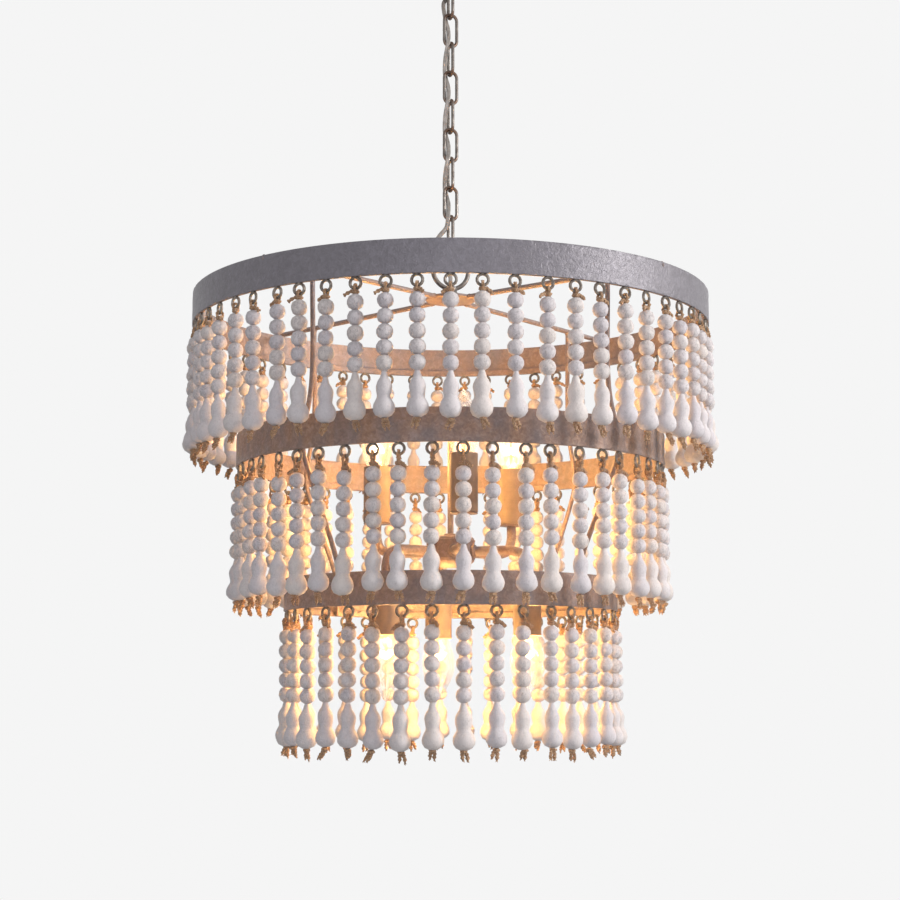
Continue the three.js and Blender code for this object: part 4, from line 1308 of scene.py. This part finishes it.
def mount_shape():
    """The glass stem in the bulb and the two leads that hold the filament."""
    leads = []
    for side in (-1, 1):
        route = [(1.0, 15), (3.4, 22), (FILAMENT_HALF, FILAMENT_RISE)]
        path = curve_through([(side * x, 0, BULB_NECK + z) for x, z in route], 8)
        leads.append(swept(path, LEAD_WIRE / 2, 6))
    return together(lathe(raised(MOUNT_PROFILE, BULB_NECK), 16), *leads)


def filament_shape():
    """A coil arched between the leads, and the white heart of its light."""
    hot = BULB_NECK + FILAMENT_RISE
    coil = []
    for i in range(COIL_STEPS + 1):
        share = i / COIL_STEPS
        angle = 2 * math.pi * COIL_TURNS * share
        rise = FILAMENT_ARCH * math.sin(math.pi * share) + COIL_RADIUS * math.sin(angle)
        coil.append(Vector((FILAMENT_HALF * (2 * share - 1), COIL_RADIUS * math.cos(angle), hot + rise)))
    ends = [(-FILAMENT_HALF, 0, hot), (0, 0, hot + FILAMENT_ARCH), (FILAMENT_HALF, 0, hot)]
    heart = swept(curve_through(ends, 9), [1.0, 2.0, 2.8, 3.2, 3.4, 3.2, 2.8, 2.0, 1.0], 12)
    return together(swept(coil, COIL_WIRE / 2, 5), heart)


def bulb(k, place):
    """A clear candle bulb; its glass is marked with how near each corner is to the filament."""
    body = f"bulb_{k + 1}"
    hot = place @ Vector((0, 0, BULB_NECK + FILAMENT_RISE)) * MM
    reach = BLOOM_REACH * MM
    glass = piece(f"glass_{k + 1}", placed(glass_shape(), place), body, GLASS, [body])
    marked(glass, "bloom", lambda spot: max(0.0, 1 - (spot - hot).length / reach) ** BLOOM_FALL)
    piece(f"cap_{k + 1}", placed(cap_shape(), place), body, BRASS)
    piece(f"mount_{k + 1}", placed(mount_shape(), place), body, GLASS)
    piece(f"filament_{k + 1}", placed(filament_shape(), place), body, FILAMENT)


# Hanger and ceiling end
def wire_oval(width, height, wire, top, bend_steps, straight_steps, sides):
    """A wire bent to an oval that hangs down from its top."""
    path = oval_path(width - wire, height - wire, bend_steps, top - height / 2, straight_steps)
    return swept(path, wire / 2, sides, closed=True)


def worn(thing, levels):
    """Marks the wear at the levels where one link carries the next."""
    def wear(spot):
        near = min(abs(spot.z / MM - level) for level in levels)
        return max(0.0, 1 - near / (LINK_WIRE * 1.4)) * 0.8
    return marked(thing, "wear", wear)


def hanger():
    link = wire_oval(LINK_WIDTH, LINK_HEIGHT, LINK_WIRE, 0, 16, 4, 14)
    seam = lathe([(LINK_WIRE / 2 + high, z) for high, z in ((0.05, -0.35), (0.22, 0), (0.05, 0.35))], 14)
    seam = placed(seam, Matrix.Translation(((LINK_WIDTH - LINK_WIRE) / 2, 0, -LINK_HEIGHT / 2)))
    chain = grown("chain", CHAIN_TREE, {
        "Links": LINK_COUNT, "Top": FIRST_LINK_TOP * MM, "Pitch": LINK_PITCH * MM,
        "Turn": math.radians(CHAIN_TURN), "Forms": shelf("links", together(link, seam)), "Finish": CHAIN,
    })
    first_wear = FIRST_LINK_TOP - LINK_WIRE
    worn(chain, [first_wear - SEAT / 2 - LINK_PITCH * i for i in range(LINK_COUNT + 1)])
    finished(chain, "hanger", None, [f"chain_link_{k + 1}" for k in range(LINK_COUNT)])

    turn = Matrix.Rotation(math.radians(CHAIN_TURN), 4, "Z")
    low, high = (v.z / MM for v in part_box("hub_ring"))
    ring = wire_oval(HUB_RING_WIDTH, HUB_RING_HEIGHT, HUB_RING_WIRE, high, 28, 3, 16)
    collar = lathe(raised(COLLAR_PROFILE, low), 36, closed=True)
    piece("hub_loop", placed(together(ring, collar), turn), "fixture", CHAIN, ["hub_ring"])

    loop = wire_oval(LOOP_WIDTH, LOOP_HEIGHT, LOOP_WIRE, LOOP_TOP, 20, 2, 14)
    neck = lathe(raised(NECK_PROFILE, LOOP_TOP - LOOP_WIRE), 36, closed=True)
    nut = lathe(raised(NUT_PROFILE, -CUP_DEPTH + CUP_WALL + SEAT), 6, closed=True)
    shape = placed(together(loop, neck, nut), turn)
    worn(piece("ceiling_loop", shape, "ceiling", CHAIN, ["canopy_loop"]), [first_wear])
    cord(turn)


def cord(turn):
    """Flat twin cord: two round cores side by side, along the same route as its solid."""
    link_half, ring_wire = LINK_PITCH / 2, HUB_RING_WIRE
    pivot = FIRST_LINK_TOP - LINK_WIRE / 2
    mouth = LOOP_TOP - LOOP_WIRE
    contact = [FIRST_LINK_TOP - LINK_WIRE - SEAT - LINK_PITCH * k for k in range(LINK_COUNT)]
    ring_top = FIRST_LINK_TOP - LINK_WIRE - LINK_PITCH * LINK_COUNT + ring_wire
    ring_pivot = ring_top - ring_wire / 2
    collar_top = ring_top - HUB_RING_HEIGHT + ring_wire
    bypass, lace, side = CORD_BYPASS, CORD_LACE, CORD_RING_SIDE
    last = LINK_COUNT - 1
    top = [
        (0, 0, -CUP_DEPTH + CUP_WALL + NUT_HEIGHT), (0, 0, mouth), (0, bypass * 0.35, mouth - LINK_WIRE),
        (0, bypass * 0.85, pivot + LINK_WIRE * 1.4), (0, bypass, pivot + LINK_WIRE / 2),
        (0, bypass, pivot + CORD_END_GAP),
    ]
    middle = [
        (0, bypass, pivot - CORD_END_GAP), (0, bypass, pivot - LINK_WIDTH / 2),
        (-lace, bypass * 0.8, pivot - link_half),
    ]
    for k in range(1, last + 1):
        middle.append((-lace, lace if k % 2 else -lace, contact[k]))
        if k < last:
            middle.append((-CORD_INSIDE if k % 2 else -CORD_BESIDE, 0, contact[k] - link_half))
    middle += [
        (-lace * 1.2, -lace * 0.7, contact[last] - LINK_PITCH / 3),
        (-side * 0.75, 0, ring_pivot + LINK_WIDTH / 2), (-side, 0, ring_pivot + LINK_WIRE / 2),
        (-side, 0, ring_pivot + CORD_END_GAP),
    ]
    bottom = [
        (-side, 0, ring_pivot - CORD_END_GAP), (-side, 0, ring_pivot - CORD_HALF_WIDTH),
        (-side, ring_wire * 0.6, ring_pivot - ring_wire * 0.9),
        (-side, ring_wire * 1.15, ring_pivot - ring_wire * 1.4),
        (-side * 0.92, ring_wire * 1.2, ring_pivot - HUB_RING_WIDTH * 0.2),
        (-side * 0.65, ring_wire, ring_pivot - HUB_RING_HEIGHT * 0.3),
        (-side * 0.3, ring_wire * 0.6, ring_pivot - ring_wire * 5),
        (0, 0, collar_top + ring_wire * 2), (0, 0, collar_top + ring_wire),
        (0, 0, collar_top - COLLAR_DROP + SEAT),
    ]
    flat = []
    for i in range(20):
        angle = 2 * math.pi * i / 20
        lobe = 1 if math.cos(angle) >= 0 else -1
        flat.append((lobe * CORD_SPREAD + CORD_CORE * math.cos(angle), CORD_CORE * math.sin(angle)))
    for name, route, count, body in (
        ("cord_canopy", top, 24, "ceiling"),
        ("cord_chain", middle, 220, "hanger"),
        ("cord_hub", bottom, 40, "fixture"),
    ):
        tube = swept(curve_through(route, count), 1, section=flat, lead=Vector((1, 0, 0)))
        piece("twin_" + name, placed(tube, turn), body, CORD, [name])


def ceiling_end():
    cup = lathe(raised(CUP_PROFILE, -CUP_DEPTH), 96, closed=True)
    piece("canopy_cup", cup, "ceiling", PAINT, ["ceiling_canopy"])
    for side, name in ((-1, "left"), (1, "right")):
        screw = lathe(raised(SCREW_PROFILE, -CUP_DEPTH - SEAT - SCREW_NUT_HEIGHT), 28)
        screw = placed(screw, Matrix.Translation((SCREW_OFFSET * side, 0, 0)))
        piece(f"cap_nut_{name}", screw, "ceiling", CHAIN, [f"canopy_screw_{name}"])
    crossbar = frame["nodes"]["ceiling_crossbar"]
    crossbar.data.materials.clear()
    crossbar.data.materials.append(ZINC)


hoops()
strands()
cross_frame()
tier_rods()
lamp_cluster()
hanger()
ceiling_end()

for box in shelves:
    for form in list(box.objects):
        bpy.data.objects.remove(form)
    bpy.data.collections.remove(box)


# Studio: pale floor and air, a soft key from the right, and the bulbs' own warm light. Each lamp has its
# place and size in metres, its power in watts and its tone.
PALE = "#f5f5f5"
AIR_TONE = "#e9e9ec"
FLOOR_TONE = "#c8c8c8"
FLOOR_LEVEL = -2700
FLOOR_HALF = 12000
FLOOR_NEAR = 1500
FLOOR_FAR = 7000
LAMPS = [
    ("key", (2.6, -0.8, 0.2), 0.7, 66, "#fffdfb"),
    ("fill", (0.1, -2.5, -0.3), 2.0, 16, "#f4f5ff"),
    ("back", (0.3, 2.3, 0.3), 1.6, 12, "#ffffff"),
]
LAMP_AIM = (0, 0, -0.6)
AIR_LEVEL = 0.47
FLOOR_LIFT = 0.58
GLOW_POWER = 2.8
GLOW_RADIUS = 7.5
GLOW_TONE = "#ffc06a"


def seen_ray(tree):
    """One where the eye, a gloss or a glass looks, and nought where plain light travels."""
    rays = add(tree, "ShaderNodeLightPath").node.outputs
    shiny = add(tree, "ShaderNodeMath", {"operation": "MAXIMUM"}, {
        0: rays["Is Glossy Ray"], 1: rays["Is Transmission Ray"],
    })
    return add(tree, "ShaderNodeMath", {"operation": "MAXIMUM"}, {0: rays["Is Camera Ray"], 1: shiny})


def air_light(tree, kind):
    """The air's light: dim where it lights the lamp, pale where it is looked at."""
    dim = add(tree, kind, links={"Color": colour(AIR_TONE), "Strength": AIR_LEVEL})
    bright = add(tree, kind, links={"Color": colour(PALE), "Strength": 1.0})
    return add(tree, "ShaderNodeMixShader", links={0: seen_ray(tree), 1: dim, 2: bright})


def pale_floor(tree, spot):
    """A floor that keeps the lamp's shadow and runs out into the air."""
    plain = add(tree, "ShaderNodeBsdfDiffuse", links={"Color": colour(FLOOR_TONE)})
    lift = add(tree, "ShaderNodeMath", {"operation": "MULTIPLY"}, {0: seen_ray(tree), 1: FLOOR_LIFT})
    glow = add(tree, "ShaderNodeEmission", links={"Color": colour(PALE), "Strength": lift})
    near = add(tree, "ShaderNodeAddShader", links={0: plain, 1: glow})
    flat = add(tree, "ShaderNodeVectorMath", {"operation": "MULTIPLY"}, {0: spot, 1: (1, 1, 0)})
    away = add(tree, "ShaderNodeVectorMath", {"operation": "LENGTH"}, {0: flat}, "Value")
    fade = add(tree, "ShaderNodeMapRange", {"interpolation_type": "SMOOTHSTEP"}, {
        "Value": away, "From Min": FLOOR_NEAR * MM, "From Max": FLOOR_FAR * MM,
    })
    far = air_light(tree, "ShaderNodeEmission")
    return add(tree, "ShaderNodeMixShader", links={0: fade, 1: near, 2: far})


def lay_floor():
    signs = ((-1, -1), (1, -1), (1, 1), (-1, 1))
    corners = [(x * FLOOR_HALF, y * FLOOR_HALF, FLOOR_LEVEL) for x, y in signs]
    floor = mesh_object("floor", (corners, [[0, 1, 2, 3]]))
    floor.data.materials.append(material("pale_floor", pale_floor))


def light(name, kind, place, power, tone):
    data = bpy.data.lights.new(name, kind)
    data.energy = power
    data.color = colour(tone)[:3]
    lamp = bpy.data.objects.new(name, data)
    lamp.location = place
    bpy.context.scene.collection.objects.link(lamp)
    return lamp


def studio():
    world = bpy.data.worlds.new("studio")
    world.use_nodes = True
    bpy.context.scene.world = world
    world.node_tree.nodes.clear()
    air = air_light(world.node_tree, "ShaderNodeBackground")
    add(world.node_tree, "ShaderNodeOutputWorld", links={"Surface": air})
    lay_floor()
    for name, place, size, power, tone in LAMPS:
        lamp = light(name, "AREA", place, power, tone)
        lamp.data.size = size
        lamp.rotation_euler = (Vector(LAMP_AIM) - Vector(place)).to_track_quat("-Z", "Y").to_euler()
    for k in range(LAMP_COUNT):
        hot = lamp_place(k)[-1] @ Vector((0, 0, BULB_NECK + FILAMENT_RISE)) * MM
        lamp = light(f"glow_{k + 1}", "POINT", hot, GLOW_POWER, GLOW_TONE)
        lamp.data.shadow_soft_size = GLOW_RADIUS * MM
        lamp.visible_transmission = False
        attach(lamp, f"bulb_{k + 1}")
    bpy.context.scene.view_settings.view_transform = "Standard"


studio()
